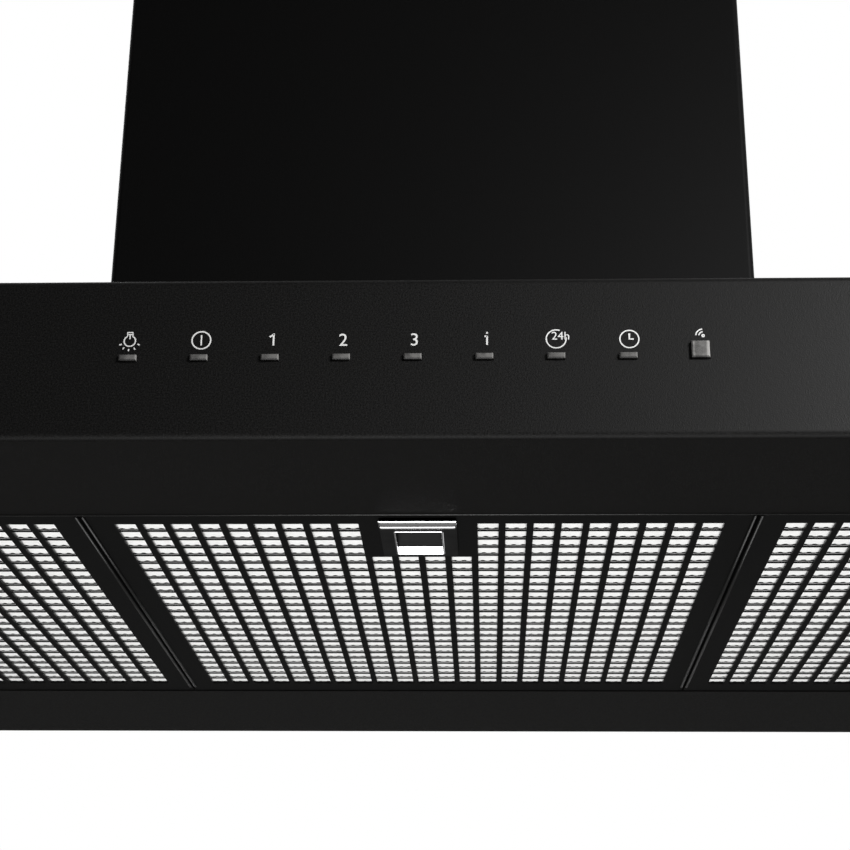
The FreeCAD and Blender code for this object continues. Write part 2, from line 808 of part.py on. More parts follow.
def filter_latch_trim(name, middle):
    """Chromed trim on the slider: a half-round grip bar, the recess's rim and a liner on its ramp."""
    body = new_body(name, middle, FILTER_FRONT, LATCH_LOW)
    bar = new_sketch(body, name + "_bar", "YZ_Plane")
    front = "(latch_front - grip_bar_overhang)"
    outline(
        bar,
        [(front, "0"), (f"{front} + grip_bar_length", "0"),
         (f"{front} + grip_bar_length / 2", "-grip_bar_height")],
        {1: ("grip_bar_round", -1), 2: ("grip_bar_round", -1)},
    )
    pad(body, bar, "latch_width", "Symmetric")
    bezel = new_sketch(body, name + "_bezel", "XY_Plane")
    rectangle(
        bezel,
        "-recess_width / 2 - bezel_rim", f"{RECESS_FRONT} - bezel_rim",
        "recess_width / 2 + bezel_rim", f"{RECESS_FRONT} + recess_length + bezel_rim",
    )
    rectangle(bezel, "-recess_width / 2", RECESS_FRONT, "recess_width / 2", f"{RECESS_FRONT} + recess_length")
    pad(body, bezel, "bezel_height", back=True)
    rear = f"({RECESS_FRONT} + recess_length)"
    run = "(recess_ramp / recess_height)"
    liner = new_sketch(body, name + "_liner", "YZ_Plane")
    outline(
        liner,
        [
            (f"{rear} + bezel_rim", "-bezel_height"),
            (f"{rear} + bezel_rim", "0"),
            (rear, "0"),
            (f"{rear} - {run} * liner_depth", "liner_depth"),
            (f"{rear} - {run} * liner_depth - liner_sheet", "liner_depth"),
            (f"{rear} - liner_sheet", "-bezel_height"),
        ],
    )
    pad(body, liner, "recess_width", "Symmetric")
    keep(body, name)


def filter_spring(name, middle):
    """A flat wire spring bent in a zigzag, which pushes the slider to the front."""
    side = f"{middle} + recess_width / 2 + recess_wall + latch_clearance"
    body = new_body(name, side, FILTER_FRONT, SPRING_LOW)
    drawing = new_sketch(body, name + "_zigzag", "XY_Plane")
    outer = [
        (f"{number % 2} * spring_swing", f"{SPRING_FRONT} + {number} * spring_leg")
        for number in range(SPRING_LEGS + 1)
    ]
    inner = [(f"{across} + spring_wire", along) for across, along in reversed(outer)]
    outline(drawing, outer + inner)
    pad(body, drawing, "spring_height")
    keep(body, name)


# ---------------------------------------------------------------- controls

def key(name, number):
    """A clear push key: the cap in the panel, a flange behind it and a stem to the switch."""
    body = new_body(name, key_x(number), "-key_reach", "key_height_centre")
    cap = new_sketch(body, name + "_cap", "XZ_Plane")
    rectangle(cap, "-key_width / 2", "-key_height / 2", "key_width / 2", "key_height / 2")
    flange_near = "(key_reach + sheet_steel + key_clearance / 2)"
    solid = pad(body, cap, f"{flange_near} + key_flange", back=True)
    doc.recompute()
    front = min(edge.BoundBox.YMax for edge in solid.Shape.Edges)
    face_edges = [
        f"Edge{count}" for count, edge in enumerate(solid.Shape.Edges, 1)
        if edge.BoundBox.YMax < front + 0.01
    ]
    soft = body.newObject("PartDesign::Chamfer", name + "_soft_edge")
    soft.Base = (solid, face_edges)
    soft.setExpression("Size", linked("key_edge"))
    flange = new_sketch(body, name + "_flange", "XZ_Plane", f"-{flange_near}")
    rectangle(
        flange, "-key_width / 2 - key_flange_rim", "-key_height / 2 - key_flange_rim",
        "key_width / 2 + key_flange_rim", "key_height / 2 + key_flange_rim",
    )
    pad(body, flange, "key_flange", back=True)
    stem = new_sketch(body, name + "_stem", "XZ_Plane", f"-{flange_near} - key_flange / 2")
    rectangle(stem, "-key_stem / 2", "-key_stem / 2", "key_stem / 2", "key_stem / 2")
    stop = "(key_travel + key_clearance)"
    stem_end = f"(key_reach + sheet_steel + housing_depth - switch_depth - plunger_reach - {stop})"
    pad(body, stem, f"{stem_end} - {flange_near} - key_flange / 2", back=True)
    keep(body, name)


def control_housing():
    """The moulded carrier behind the panel, with a guide for each key and for the window."""
    left = "(key_first - housing_margin)"
    body = new_body("housing", "0", "sheet_steel", "key_height_centre")
    base = new_sketch(body, "housing_base", "XZ_Plane")
    rectangle(base, left, "-housing_height / 2", f"{WINDOW_X} + housing_margin", "housing_height / 2")
    pad(body, base, "housing_depth", back=True)
    guide = new_sketch(body, "housing_guide", "XZ_Plane")
    half_width = "key_width / 2 + key_flange_rim + key_clearance"
    half_height = "key_height / 2 + key_flange_rim + key_clearance"
    rectangle(
        guide, f"key_first - ({half_width})", f"-({half_height})", f"key_first + {half_width}", half_height
    )
    guides = pocket(body, guide, "2 * housing_depth", "Symmetric")
    repeat(body, guides, guide, "H_Axis", "key_pitch", str(len(KEYS)))
    window = new_sketch(body, "housing_window", "XZ_Plane")
    reach = "window_size / 2 + key_clearance"
    middle = "(window_height_centre - key_height_centre)"
    rectangle(
        window,
        f"{WINDOW_X} - ({reach})", f"{middle} - ({reach})", f"{WINDOW_X} + {reach}", f"{middle} + {reach}",
    )
    pocket(body, window, "2 * housing_depth", "Symmetric")
    keep(body, "control_housing")


def control_board():
    keep(
        block(
            "board",
            (
                "key_first - housing_margin + board_rim", "sheet_steel + housing_depth",
                "key_height_centre - housing_height / 2 + board_rim",
            ),
            f"{WINDOW_X} - key_first + 2 * housing_margin - 2 * board_rim", "board_thickness",
            "housing_height - 2 * board_rim",
        ),
        "control_board",
    )


def key_switches():
    """One small push switch behind each key."""
    switches = []
    rear = "(sheet_steel + housing_depth)"
    low = "key_height_centre"
    for number in range(len(KEYS)):
        base = block(
            f"switch_base_{number}",
            (f"{key_x(number)} - switch_size / 2", f"{rear} - switch_depth", f"{low} - switch_size / 2"),
            "switch_size", "switch_depth", "switch_size",
        )
        plunger = block(
            f"switch_plunger_{number}",
            (
                f"{key_x(number)} - plunger_size / 2", f"{rear} - switch_depth - plunger_reach",
                f"{low} - plunger_size / 2",
            ),
            "plunger_size", "plunger_reach + switch_depth / 2", "plunger_size",
        )
        switches.append(fuse(f"switch_{number}", [base, plunger]))
    keep(group("switches", switches), "key_switches")


def receiver_window():
    """The clear block in front of the remote-control receiver."""
    window = block(
        "window_block",
        (f"{WINDOW_X} - window_size / 2", "-window_reach", "window_height_centre - window_size / 2"),
        "window_size", "window_reach + sheet_steel + housing_depth", "window_size",
    )
    front = size("-window_reach - hood_depth")
    keep(
        chamfered("window", window, "key_edge", lambda edge: edge.BoundBox.YMax < front + 0.01),
        "receiver_window",
    )


# ---------------------------------------------------------------- lamps

LAMP_SIDES = {"left": -1, "right": 1}
LAMP_SLEEVE = "(lamp_radius - key_clearance)"
LAMP_BORE = f"({LAMP_SLEEVE} - lamp_sleeve)"


def lamp_body(kind, side, rise="0"):
    return new_body(f"lamp_{side}_{kind}", f"{LAMP_SIDES[side]} * lamp_offset", "front_strip / 2", rise)


def lamp_rim(side):
    """The rim against the strip, with the sleeve that the glass and the can sit in."""
    body = lamp_body("rim", side)
    profile = new_sketch(body, f"lamp_{side}_rim_profile", "XZ_Plane")
    outer = "(lamp_radius + lamp_rim)"
    outline(
        profile,
        [
            (LAMP_BORE, "-lamp_rim_height"),
            (f"{outer} - lamp_rim_height", "-lamp_rim_height"),
            (outer, "0"),
            (LAMP_SLEEVE, "0"),
            (LAMP_SLEEVE, "lamp_sleeve_height"),
            (LAMP_BORE, "lamp_sleeve_height"),
        ],
    )
    revolve(body, profile)
    return body


def lamp_glass(side):
    body = lamp_body("glass", side, "-lamp_lens_reach")
    profile = new_sketch(body, f"lamp_{side}_glass_profile", "XZ_Plane")
    edge = f"({LAMP_BORE} - key_clearance)"
    outline(
        profile,
        [
            ("0", "0"),
            (f"{edge} - lamp_lens_edge", "0"),
            (edge, "lamp_lens_edge"),
            (edge, "lamp_lens_reach + lamp_lens_height"),
            ("0", "lamp_lens_reach + lamp_lens_height"),
        ],
    )
    revolve(body, profile)
    return body


def lamp_can(side):
    """The finned body above the sleeve."""
    body = lamp_body("can", side, "lamp_sleeve_height")
    base = new_sketch(body, f"lamp_{side}_can_base", "XY_Plane")
    ring(base, LAMP_SLEEVE)
    pad(body, base, "lamp_body_height")
    gap = new_sketch(body, f"lamp_{side}_fin_gap", "XY_Plane", "lamp_body_height / 4")
    rectangle(
        gap, f"{LAMP_SLEEVE} - lamp_fin_depth", "-lamp_fin_width / 2",
        f"{LAMP_SLEEVE} + lamp_fin_depth", "lamp_fin_width / 2",
    )
    fins = pocket(body, gap, "lamp_body_height", back=True)
    turn_about(body, fins, gap, "lamp_fin_count")
    return body


# ---------------------------------------------------------------- suction box and blower

def suction_box():
    """The bent front and sides over the canopy's opening, which stand on feet against the wall frame."""
    depth = f"({WALL_BACK} - box_front)"
    outer = block(
        "box_outer", ("-box_width / 2", "box_front", "canopy_height"), "box_width", depth,
        "box_height - sheet_steel",
    )
    inner = block(
        "box_inner",
        ("-box_width / 2 + sheet_steel", "box_front + sheet_steel", "canopy_height - sheet_steel"),
        "box_width - 2 * sheet_steel", depth, "box_height + sheet_steel",
    )
    foot = block(
        "box_feet", ("-box_width / 2 - box_foot", "box_front - box_foot", "canopy_height"),
        "box_width + 2 * box_foot", f"{depth} + box_foot", "sheet_steel",
    )
    keep(cut("box", fuse("box_and_feet", [outer, foot]), [inner]), "suction_box")


def box_top():
    """The plate on the suction box, with the hole for the outlet."""
    low = f"{BOX_TOP} - sheet_steel"
    plate = block(
        "box_plate", ("-box_width / 2", "box_front", low), "box_width", f"{WALL_BACK} - box_front",
        "sheet_steel",
    )
    below = f"{BOX_TOP} - 2 * sheet_steel"
    hole = rod("box_outlet", ("0", COLLAR_Y, below), "collar_radius", "3 * sheet_steel")
    keep(cut("box_lid", plate, [hole]), "box_top")


def scroll_outline(drawing, wall):
    """Three quarter turns of growing radius about a stepped centre, then a straight outlet upwards."""
    first = f"(scroll_radius + {wall})"
    second = f"({first} + scroll_step)"
    third = f"({first} + 2 * scroll_step)"
    top = "box_height - scroll_floor - scroll_radius - scroll_step - scroll_wall - sheet_steel"
    front = f"-scroll_step - {third}"
    corners = [
        (wall, f"sqrt({first}^2 - {wall}^2)"),
        (first, "0"),
        ("-scroll_step", f"-{second}"),
        (front, "scroll_step"),
        (front, top),
        (wall, top),
    ]
    outline(drawing, corners, {0: (first, -1), 1: (second, -1), 2: (third, -1)})


def scroll_wall():
    """The spiral wall round the impeller, open at its outlet."""
    body = new_body("scroll_band", "0", SCROLL_Y, SCROLL_Z)
    width = "2 * (scroll_half_width - scroll_wall)"
    outer = new_sketch(body, "band_outer", "YZ_Plane")
    scroll_outline(outer, "scroll_wall")
    pad(body, outer, width, "Symmetric")
    inner = new_sketch(body, "band_inner", "YZ_Plane")
    scroll_outline(inner, "0")
    pocket(body, inner, f"{width} + 2 * scroll_wall", "Symmetric")
    keep(body, "scroll_wall")


def scroll_side(side, back):
    """A side of the blower's scroll, with its inlet."""
    name = f"scroll_{side}"
    body = new_body(name + "_side", "0", SCROLL_Y, SCROLL_Z)
    away = "-" if back else ""
    face = new_sketch(body, name + "_face", "YZ_Plane", f"{away}(scroll_half_width - scroll_wall)")
    scroll_outline(face, "scroll_wall")
    pad(body, face, "scroll_wall", back=back)
    inlet = new_sketch(body, name + "_inlet", "YZ_Plane")
    ring(inlet, "inlet_radius", "-scroll_step / 2", "scroll_step / 2")
    pocket(body, inlet, "4 * scroll_half_width", "Symmetric")
    keep(body, name)


def impeller():
    """A drum of curved blades between two rings, on a centre disc with its hub."""
    body = new_body("drum", "0", FAN_Y, FAN_Z)
    inner = "(impeller_radius - blade_depth)"
    blade = new_sketch(body, "drum_blade", "YZ_Plane")
    outline(
        blade,
        [
            (f"{inner} + ring_width / 2", "0"),
            ("impeller_radius - ring_width / 2", "blade_lean"),
            ("impeller_radius - ring_width / 2", "blade_lean + blade_sheet"),
            (f"{inner} + ring_width / 2", "blade_sheet"),
        ],
        {0: ("blade_curve", 1), 2: ("blade_curve", -1)},
    )
    blades = pad(body, blade, "2 * impeller_half_width", "Symmetric")
    turn_about(body, blades, blade, "blade_count")
    for side, place in (("left", "-impeller_half_width"), ("right", "impeller_half_width - ring_width")):
        rim = new_sketch(body, f"drum_{side}_ring", "YZ_Plane", place)
        ring(rim, "impeller_radius")
        ring(rim, inner)
        pad(body, rim, "ring_width")
    disc = new_sketch(body, "drum_disc", "YZ_Plane")
    ring(disc, f"{inner} + blade_depth / 2")
    pad(body, disc, "disc_sheet", "Symmetric")
    hub = new_sketch(body, "drum_hub", "YZ_Plane")
    ring(hub, "hub_radius")
    pad(body, hub, "disc_sheet / 2 + hub_length")
    bore = new_sketch(body, "drum_bore", "YZ_Plane")
    ring(bore, "shaft_radius + shaft_clearance")
    pocket(body, bore, "4 * hub_length", "Symmetric")
    keep(body, "impeller_drum")


def motor_shaft():
    """The shaft that carries the drum and runs in the motor."""
    shaft = rod(
        "shaft", ("-hub_length / 2", FAN_Y, FAN_Z), "shaft_radius", "hub_length + shaft_length", ALONG_X
    )
    keep(shaft, "motor_shaft")


def motor():
    """The motor in the right inlet, on three arms that lap over the scroll's side."""
    start = "(disc_sheet / 2 + hub_length + motor_gap)"
    body = new_body("motor_can", "0", FAN_Y, FAN_Z)
    can = new_sketch(body, "motor_base", "YZ_Plane", start)
    ring(can, "motor_radius")
    solid = pad(body, can, "motor_length")
    doc.recompute()
    far_end = size(f"{start} + motor_length")
    rims = [
        f"Edge{number}" for number, edge in enumerate(solid.Shape.Edges, 1)
        if edge.BoundBox.XMin > far_end - 0.01
    ]
    soft = body.newObject("PartDesign::Chamfer", "motor_soft_edge")
    soft.Base = (solid, rims)
    soft.setExpression("Size", linked("motor_edge"))
    arm = new_sketch(body, "motor_arm", "YZ_Plane", "scroll_half_width")
    rectangle(
        arm, "motor_radius / 2", "-motor_arm_width / 2", "inlet_radius + motor_arm_lap", "motor_arm_width / 2"
    )
    arms = pad(body, arm, "motor_arm_sheet")
    turn_about(body, arms, arm, "3")
    bore = new_sketch(body, "motor_bore", "YZ_Plane", f"{start} - motor_gap")
    ring(bore, "shaft_radius + shaft_clearance")
    depth = f"shaft_length + hub_length / 2 - {start} + 2 * motor_gap"
    pocket(body, bore, depth, back=True)
    keep(body, "motor")


def outlet_collar():
    """The spigot for the duct, with a ledge and a pin for the two flaps."""
    body = new_body("collar", "0", COLLAR_Y, BOX_TOP)
    inside = "(collar_radius - collar_wall)"
    profile = new_sketch(body, "collar_profile", "XZ_Plane")
    outline(
        profile,
        [
            (f"{inside} - ledge_width", "0"),
            ("collar_radius + collar_flange", "0"),
            ("collar_radius + collar_flange", "collar_flange_sheet"),
            ("collar_radius", "collar_flange_sheet"),
            ("collar_radius", "collar_height"),
            (inside, "collar_height"),
            (inside, "ledge_height + ledge_sheet"),
            (f"{inside} - ledge_width", "ledge_height + ledge_sheet"),
        ],
    )
    revolve(body, profile)
    pin = new_sketch(body, "collar_pin", "XZ_Plane")
    ring(pin, "pin_radius", "0", "ledge_height + ledge_sheet + flap_gap + flap_sheet / 2")
    pad(body, pin, f"2 * {inside} + collar_wall", "Symmetric")
    keep(body, "outlet_collar")


def flap(side, sign, starts):
    """A half-round flap with two knuckles on the collar's pin."""
    low = f"{BOX_TOP} + ledge_height + ledge_sheet + flap_gap"
    pin_z = f"{low} + flap_sheet / 2"
    inside = "(collar_radius - collar_wall - flap_edge_gap)"
    name = f"flap_{side}"
    disc = rod(name + "_disc", ("0", COLLAR_Y, low), inside, "flap_sheet")
    knuckle = "(pin_radius + knuckle_wall)"
    room = f"({knuckle} + 1)"
    corner = "-collar_radius" if sign > 0 else f"-{room}"
    half = block(
        name + "_half", (corner, f"{COLLAR_Y} - collar_radius", f"{low} - flap_sheet"),
        f"collar_radius + {room}", "2 * collar_radius", "3 * flap_sheet",
    )
    leaf = cut(name + "_leaf", disc, [half])
    parts = [leaf]
    for number, start in enumerate(starts):
        y = f"{COLLAR_Y} + {start} * knuckle_length"
        parts.append(rod(f"{name}_knuckle_{number}", ("0", y, pin_z), knuckle, "knuckle_length", ALONG_Y))
        tab_corner = "0" if sign > 0 else f"-2 * {room}"
        parts.append(
            block(f"{name}_tab_{number}", (tab_corner, y, low), f"2 * {room}", "knuckle_length", "flap_sheet")
        )
    bore = rod(
        name + "_bore", ("0", f"{COLLAR_Y} - collar_radius", pin_z),
        "pin_radius + pin_clearance", "2 * collar_radius", ALONG_Y,
    )
    keep(cut(name + "_bored", fuse(name + "_joined", parts), [bore]), name)


# ---------------------------------------------------------------- electrics on the suction box

def electronics():
    """The wiring box, its lid with the cable gland, and the motor capacitor."""
    left = "(-box_width / 2 + electrics_side)"
    front = "(box_front + electrics_front)"
    lid_low = f"({BOX_TOP} + electrics_height)"
    outer = block(
        "case_outer", (left, front, BOX_TOP), "electrics_width", "electrics_length", "electrics_height"
    )
    inner = block(
        "case_inner",
        (f"{left} + electrics_wall", f"{front} + electrics_wall", f"{BOX_TOP} + electrics_wall"),
        "electrics_width - 2 * electrics_wall", "electrics_length - 2 * electrics_wall", "electrics_height",
    )
    keep(cut("case", outer, [inner]), "electronics_box")
    lid = block("lid_plate", (left, front, lid_low), "electrics_width", "electrics_length", "electrics_wall")
    gland_x = f"({left} + electrics_width / 2)"
    gland_y = f"({front} + electrics_length - gland_back)"
    start = f"({lid_low} - 2 * electrics_wall)"
    hole = rod("lid_hole", (gland_x, gland_y, start), "gland_radius", "4 * electrics_wall")
    keep(cut("lid", lid, [hole]), "electronics_lid")
    nut_low = f"({lid_low} + electrics_wall)"
    neck = rod(
        "gland_neck", (gland_x, gland_y, start), "gland_radius - key_clearance / 2", "3 * electrics_wall"
    )
    nut = doc.addObject("Part::Prism", "gland_hexagon")
    nut.Polygon = 6
    nut.setExpression("Circumradius", linked("gland_nut"))
    nut.setExpression("Height", linked("gland_nut_sheet"))
    seat(nut, gland_x, gland_y, nut_low)
    bore = rod(
        "gland_hole", (gland_x, gland_y, f"{start} - electrics_wall"), "gland_bore",
        "gland_nut_sheet + 5 * electrics_wall",
    )
    keep(cut("gland", fuse("gland_solid", [neck, nut]), [bore]), "cable_gland")
    can = rod(
        "capacitor_can", ("capacitor_side", "box_front + capacitor_front", BOX_TOP), "capacitor_radius",
        "capacitor_height",
    )
    keep(can, "motor_capacitor")


# ---------------------------------------------------------------- wall frame and chimney

def wall_frame():
    """The flanged back plate with the four wall bolts, behind and above the suction box."""
    half = "(box_width / 2 + frame_sheet)"
    plate = block(
        "frame_plate", (f"-{half}", WALL_BACK, "canopy_height"), f"2 * {half}", "frame_sheet", "frame_height"
    )
    flanges = [
        block(f"frame_flange_{side}", (x, f"{WALL_BACK} - frame_flange", "canopy_height + sheet_steel"),
              "frame_sheet", "frame_flange + frame_sheet / 2", "frame_height - sheet_steel")
        for side, x in (("left", f"-{half}"), ("right", "box_width / 2"))
    ]
    holes = [
        rod(
            f"frame_hole_{number}",
            (
                f"{across} * bolt_spacing_wide / 2", f"{WALL_BACK} - frame_sheet",
                f"canopy_height + bolt_rise + {up} * bolt_spacing_high / 2",
            ),
            "bolt_hole_radius", "3 * frame_sheet", ALONG_Y,
        )
        for number, (across, up) in enumerate([(-1, -1), (1, -1), (-1, 1), (1, 1)])
    ]
    keep(cut("frame", fuse("frame_flanged", [plate] + flanges), holes), "wall_frame")


def cover(name, half, front, back, low, corner):
    """A chimney cover: front and two sides, with narrow returns against the wall."""
    length = "chimney_height"
    outer = block(f"{name}_outer", (f"-{half}", front, low), f"2 * {half}", f"{back} - {front}", length)
    soft = rounded(
        f"{name}_bends", outer, corner,
        lambda edge: runs_along(edge, "z") and edge.BoundBox.YMax < size("chimney_front + 10 - hood_depth"),
    )
    inner = block(
        f"{name}_inner", (f"-{half} + sheet_steel", f"{front} + sheet_steel", f"{low} - sheet_steel"),
        f"2 * {half} - 2 * sheet_steel", f"{back} - {front} - 2 * sheet_steel", f"{length} + 2 * sheet_steel",
    )
    inner_soft = rounded(
        f"{name}_inner_bends", inner, f"{corner} - sheet_steel",
        lambda edge: runs_along(edge, "z") and edge.BoundBox.YMax < size("chimney_front + 10 - hood_depth"),
    )
    gap = block(
        f"{name}_back_gap",
        (f"-{half} + chimney_return", f"{back} - 2 * sheet_steel", f"{low} - sheet_steel"),
        f"2 * {half} - 2 * chimney_return", "3 * sheet_steel", f"{length} + 2 * sheet_steel",
    )
    return soft, [inner_soft, gap]


UPPER_HALF = "(chimney_width / 2 - sheet_steel - chimney_clearance)"
UPPER_FRONT = "(chimney_front + sheet_steel + chimney_clearance)"
UPPER_BACK = "(hood_depth - sheet_steel - chimney_clearance)"
UPPER_LOW = "(canopy_height + chimney_showing)"


def lower_chimney():
    solid, tools = cover(
        "lower", "chimney_width / 2", "chimney_front", "hood_depth", "canopy_height", "chimney_bend"
    )
    holes = [
        rod(f"lower_hole_{side}", (x, f"{WALL_BACK} - frame_flange / 2", "canopy_height + screw_height"),
            "screw_radius + screw_clearance", "4 * sheet_steel", ALONG_X)
        for side, x in (
            ("left", "-chimney_width / 2 - sheet_steel"), ("right", "chimney_width / 2 - 2 * sheet_steel")
        )
    ]
    keep(cut("lower_cover", solid, tools + holes), "lower_chimney")


def upper_chimney():
    """The upper cover telescopes in the lower one and has rows of vent slots near its top."""
    solid, tools = cover(
        "upper", UPPER_HALF, UPPER_FRONT, UPPER_BACK, UPPER_LOW, "chimney_bend - sheet_steel / 2"
    )
    middle = f"(({UPPER_FRONT} + {UPPER_BACK}) / 2)"
    for number in range(int(size("vent_count"))):
        z = f"{UPPER_LOW} + chimney_height - vent_drop - {number} * vent_pitch - vent_width"
        tools.append(
            block(f"vent_{number}", (f"-{UPPER_HALF} - sheet_steel", f"{middle} - vent_length / 2", z),
                  f"2 * {UPPER_HALF} + 2 * sheet_steel", "vent_length", "vent_width")
        )
    keep(cut("upper_cover", solid, tools), "upper_chimney")


def ceiling_bracket():
    """The slotted bracket inside the top of the upper cover."""
    half = f"({UPPER_HALF} - sheet_steel)"
    back = f"({UPPER_BACK} - sheet_steel - frame_sheet)"
    low = f"({UPPER_LOW} + chimney_height - bracket_height)"
    plate = block("bracket_plate", (f"-{half}", f"{back} - frame_sheet", low), f"2 * {half}", "frame_sheet",
                  "bracket_height")
    arms = [
        block(
            f"bracket_arm_{side}", (x, f"{back} - bracket_arm", low), "frame_sheet", "bracket_arm",
            "bracket_height",
        )
        for side, x in (("left", f"-{half}"), ("right", f"{half} - frame_sheet"))
    ]
    tools = []
    for side, sign in (("left", "-"), ("right", "")):
        centre = f"{sign}bracket_slot_offset"
        run = "(bracket_slot_length / 2 - bracket_slot_radius)"
        z = f"{low} + bracket_height / 2"
        y = f"{back} - 2 * frame_sheet"
        tools.append(
            block(f"bracket_slot_{side}", (f"{centre} - {run}", y, f"{z} - bracket_slot_radius"),
                  f"2 * {run}", "3 * frame_sheet", "2 * bracket_slot_radius")
        )
        for end, step in (("a", "-"), ("b", "+")):
            tools.append(
                rod(f"bracket_slot_{side}_{end}", (f"{centre} {step} {run}", y, z), "bracket_slot_radius",
                    "3 * frame_sheet", ALONG_Y)
            )
    keep(cut("bracket", fuse("bracket_armed", [plate] + arms), tools), "ceiling_bracket")


def chimney_screws():
    """Two screws through the lower cover into the wall frame's flanges."""
    screws = []
    y = f"{WALL_BACK} - frame_flange / 2"
    z = "canopy_height + screw_height"
    for side, sign in (("left", -1), ("right", 1)):
        face = f"{sign} * chimney_width / 2"
        head_start = face if sign > 0 else f"{face} - screw_head_height"
        head = rod(
            f"screw_head_{side}", (head_start, y, z), "screw_head_radius", "screw_head_height", ALONG_X
        )
        shank_start = f"{face} - screw_length" if sign > 0 else face
        shank = rod(f"screw_shank_{side}", (shank_start, y, z), "screw_radius", "screw_length", ALONG_X)
        screws.append(fuse(f"screw_{side}", [head, shank]))
    keep(group("screws", screws), "chimney_screws")


# ---------------------------------------------------------------- the hood

front_panel()
keep(group("sides", [side_panel("left", -1), side_panel("right", 1)]), "side_panels")
rear_panel()
canopy_top()
for number, place in enumerate(("left", "middle", "right")):
    middle = f"({number - 1} * {FILTER_PITCH})"
    filter_frame(f"filter_{place}_frame", middle)
    filter_cross_bars(f"filter_{place}_cross_bars", middle)
    filter_mesh(f"filter_{place}_mesh", middle)
    filter_back_plate(f"filter_{place}_back_plate", middle)
    filter_latch(f"filter_{place}_latch", middle)
    filter_latch_trim(f"filter_{place}_latch_trim", middle)
    filter_spring(f"filter_{place}_latch_spring", middle)
for number, use in enumerate(KEYS):
    key(f"key_{use}", number)
control_housing()
control_board()
key_switches()
receiver_window()
keep(group("rims", [lamp_rim(side) for side in LAMP_SIDES]), "lamp_bezels")
keep(group("glasses", [lamp_glass(side) for side in LAMP_SIDES]), "lamp_lenses")
keep(group("cans", [lamp_can(side) for side in LAMP_SIDES]), "lamp_bodies")
suction_box()
box_top()
scroll_wall()
scroll_side("left", True)
scroll_side("right", False)
impeller()
motor_shaft()
motor()
outlet_collar()
flap("left", -1, (-1.2, 1.4))
flap("right", 1, (-2.4, 0.1))
electronics()
wall_frame()
lower_chimney()
upper_chimney()
ceiling_bracket()
chimney_screws()

doc.recompute()
for item in doc.Objects:
    if "Invalid" in item.State or "Error" in item.State:
        raise RuntimeError(f"{item.Label} failed: {item.State}")
os.makedirs("parts", exist_ok=True)
for piece in SUB_PARTS:
    shape = piece.Shape
    if shape.isNull() or not shape.isValid():
        raise RuntimeError(f"{piece.Label} has no valid shape")
    shape.exportStep(f"parts/{piece.Label}.step")
    print(f"{piece.Label}: {len(shape.Solids)} solid(s), {shape.Volume / 1000:.2f} cm3")
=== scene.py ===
"""Looks of a wall-mounted chimney hood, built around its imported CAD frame. All lengths are metres."""

import json
import math

import bmesh
import bpy
from mathutils import Matrix, Vector


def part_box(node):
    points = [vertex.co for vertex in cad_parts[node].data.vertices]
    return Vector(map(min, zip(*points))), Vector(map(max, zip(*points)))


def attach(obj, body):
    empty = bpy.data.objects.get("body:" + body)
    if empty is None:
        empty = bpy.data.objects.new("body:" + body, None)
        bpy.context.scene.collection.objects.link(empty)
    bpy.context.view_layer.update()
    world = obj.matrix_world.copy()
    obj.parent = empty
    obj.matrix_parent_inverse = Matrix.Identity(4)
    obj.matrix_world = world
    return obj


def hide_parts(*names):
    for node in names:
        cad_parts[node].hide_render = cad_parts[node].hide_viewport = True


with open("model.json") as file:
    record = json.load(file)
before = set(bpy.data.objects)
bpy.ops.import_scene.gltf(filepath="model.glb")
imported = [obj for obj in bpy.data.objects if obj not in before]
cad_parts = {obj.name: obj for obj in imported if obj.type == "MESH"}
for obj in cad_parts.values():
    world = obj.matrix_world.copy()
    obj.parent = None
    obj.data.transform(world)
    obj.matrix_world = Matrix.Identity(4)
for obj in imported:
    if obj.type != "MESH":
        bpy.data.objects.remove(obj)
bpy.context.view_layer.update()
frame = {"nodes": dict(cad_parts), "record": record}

MM = 0.001
WHITE = (1, 1, 1)
HOOD = "hood"
PLACES = ("left", "middle", "right")


def box_corners(node):
    """The low and high corners of a CAD node's box."""
    low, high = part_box(node)
    return Vector(low), Vector(high)


PANEL_LOW, PANEL_HIGH = box_corners("front_panel")
FACE_Y = PANEL_LOW.y
UNDERSIDE_Z = PANEL_LOW.z


# ---------------------------------------------------------------- nodes of a material

def new_material(name):
    """A material with its node tree and its Principled shader."""
    material = bpy.data.materials.new(name)
    material.use_nodes = True
    return material, material.node_tree, material.node_tree.nodes["Principled BSDF"]


def add(tree, kind, **values):
    """One node, with its attributes and input sockets set by name."""
    node = tree.nodes.new(kind)
    for key, value in values.items():
        if hasattr(node, key):
            setattr(node, key, value)
        else:
            node.inputs[key.replace("_", " ")].default_value = value
    return node


def feed(tree, node, **sources):
    """Joins outputs to a node's input sockets, which are given by name."""
    for key, source in sources.items():
        tree.links.new(source, node.inputs[key.replace("_", " ")])


def combine(tree, kind, operation, *values):
    """A maths node fed in order with outputs of other nodes or plain numbers."""
    node = add(tree, kind, operation=operation)
    for socket, value in zip(node.inputs, values):
        if isinstance(value, bpy.types.NodeSocket):
            tree.links.new(value, socket)
        else:
            socket.default_value = value
    return node.outputs[0]


def object_place(tree, stretch=(1, 1, 1)):
    """Coordinates in metres in the shared frame, stretched along chosen axes."""
    mapping = add(tree, "ShaderNodeMapping", Scale=stretch)
    feed(tree, mapping, Vector=add(tree, "ShaderNodeTexCoord").outputs["Object"])
    return mapping.outputs["Vector"]


def component(tree, coordinates, letter):
    """The X, Y or Z of one kind of texture coordinates."""
    split = add(tree, "ShaderNodeSeparateXYZ")
    feed(tree, split, Vector=add(tree, "ShaderNodeTexCoord").outputs[coordinates])
    return split.outputs[letter]


def upward(tree):
    """How far a face looks up, from -1 to 1, in the object's own frame."""
    return component(tree, "Normal", "Z")


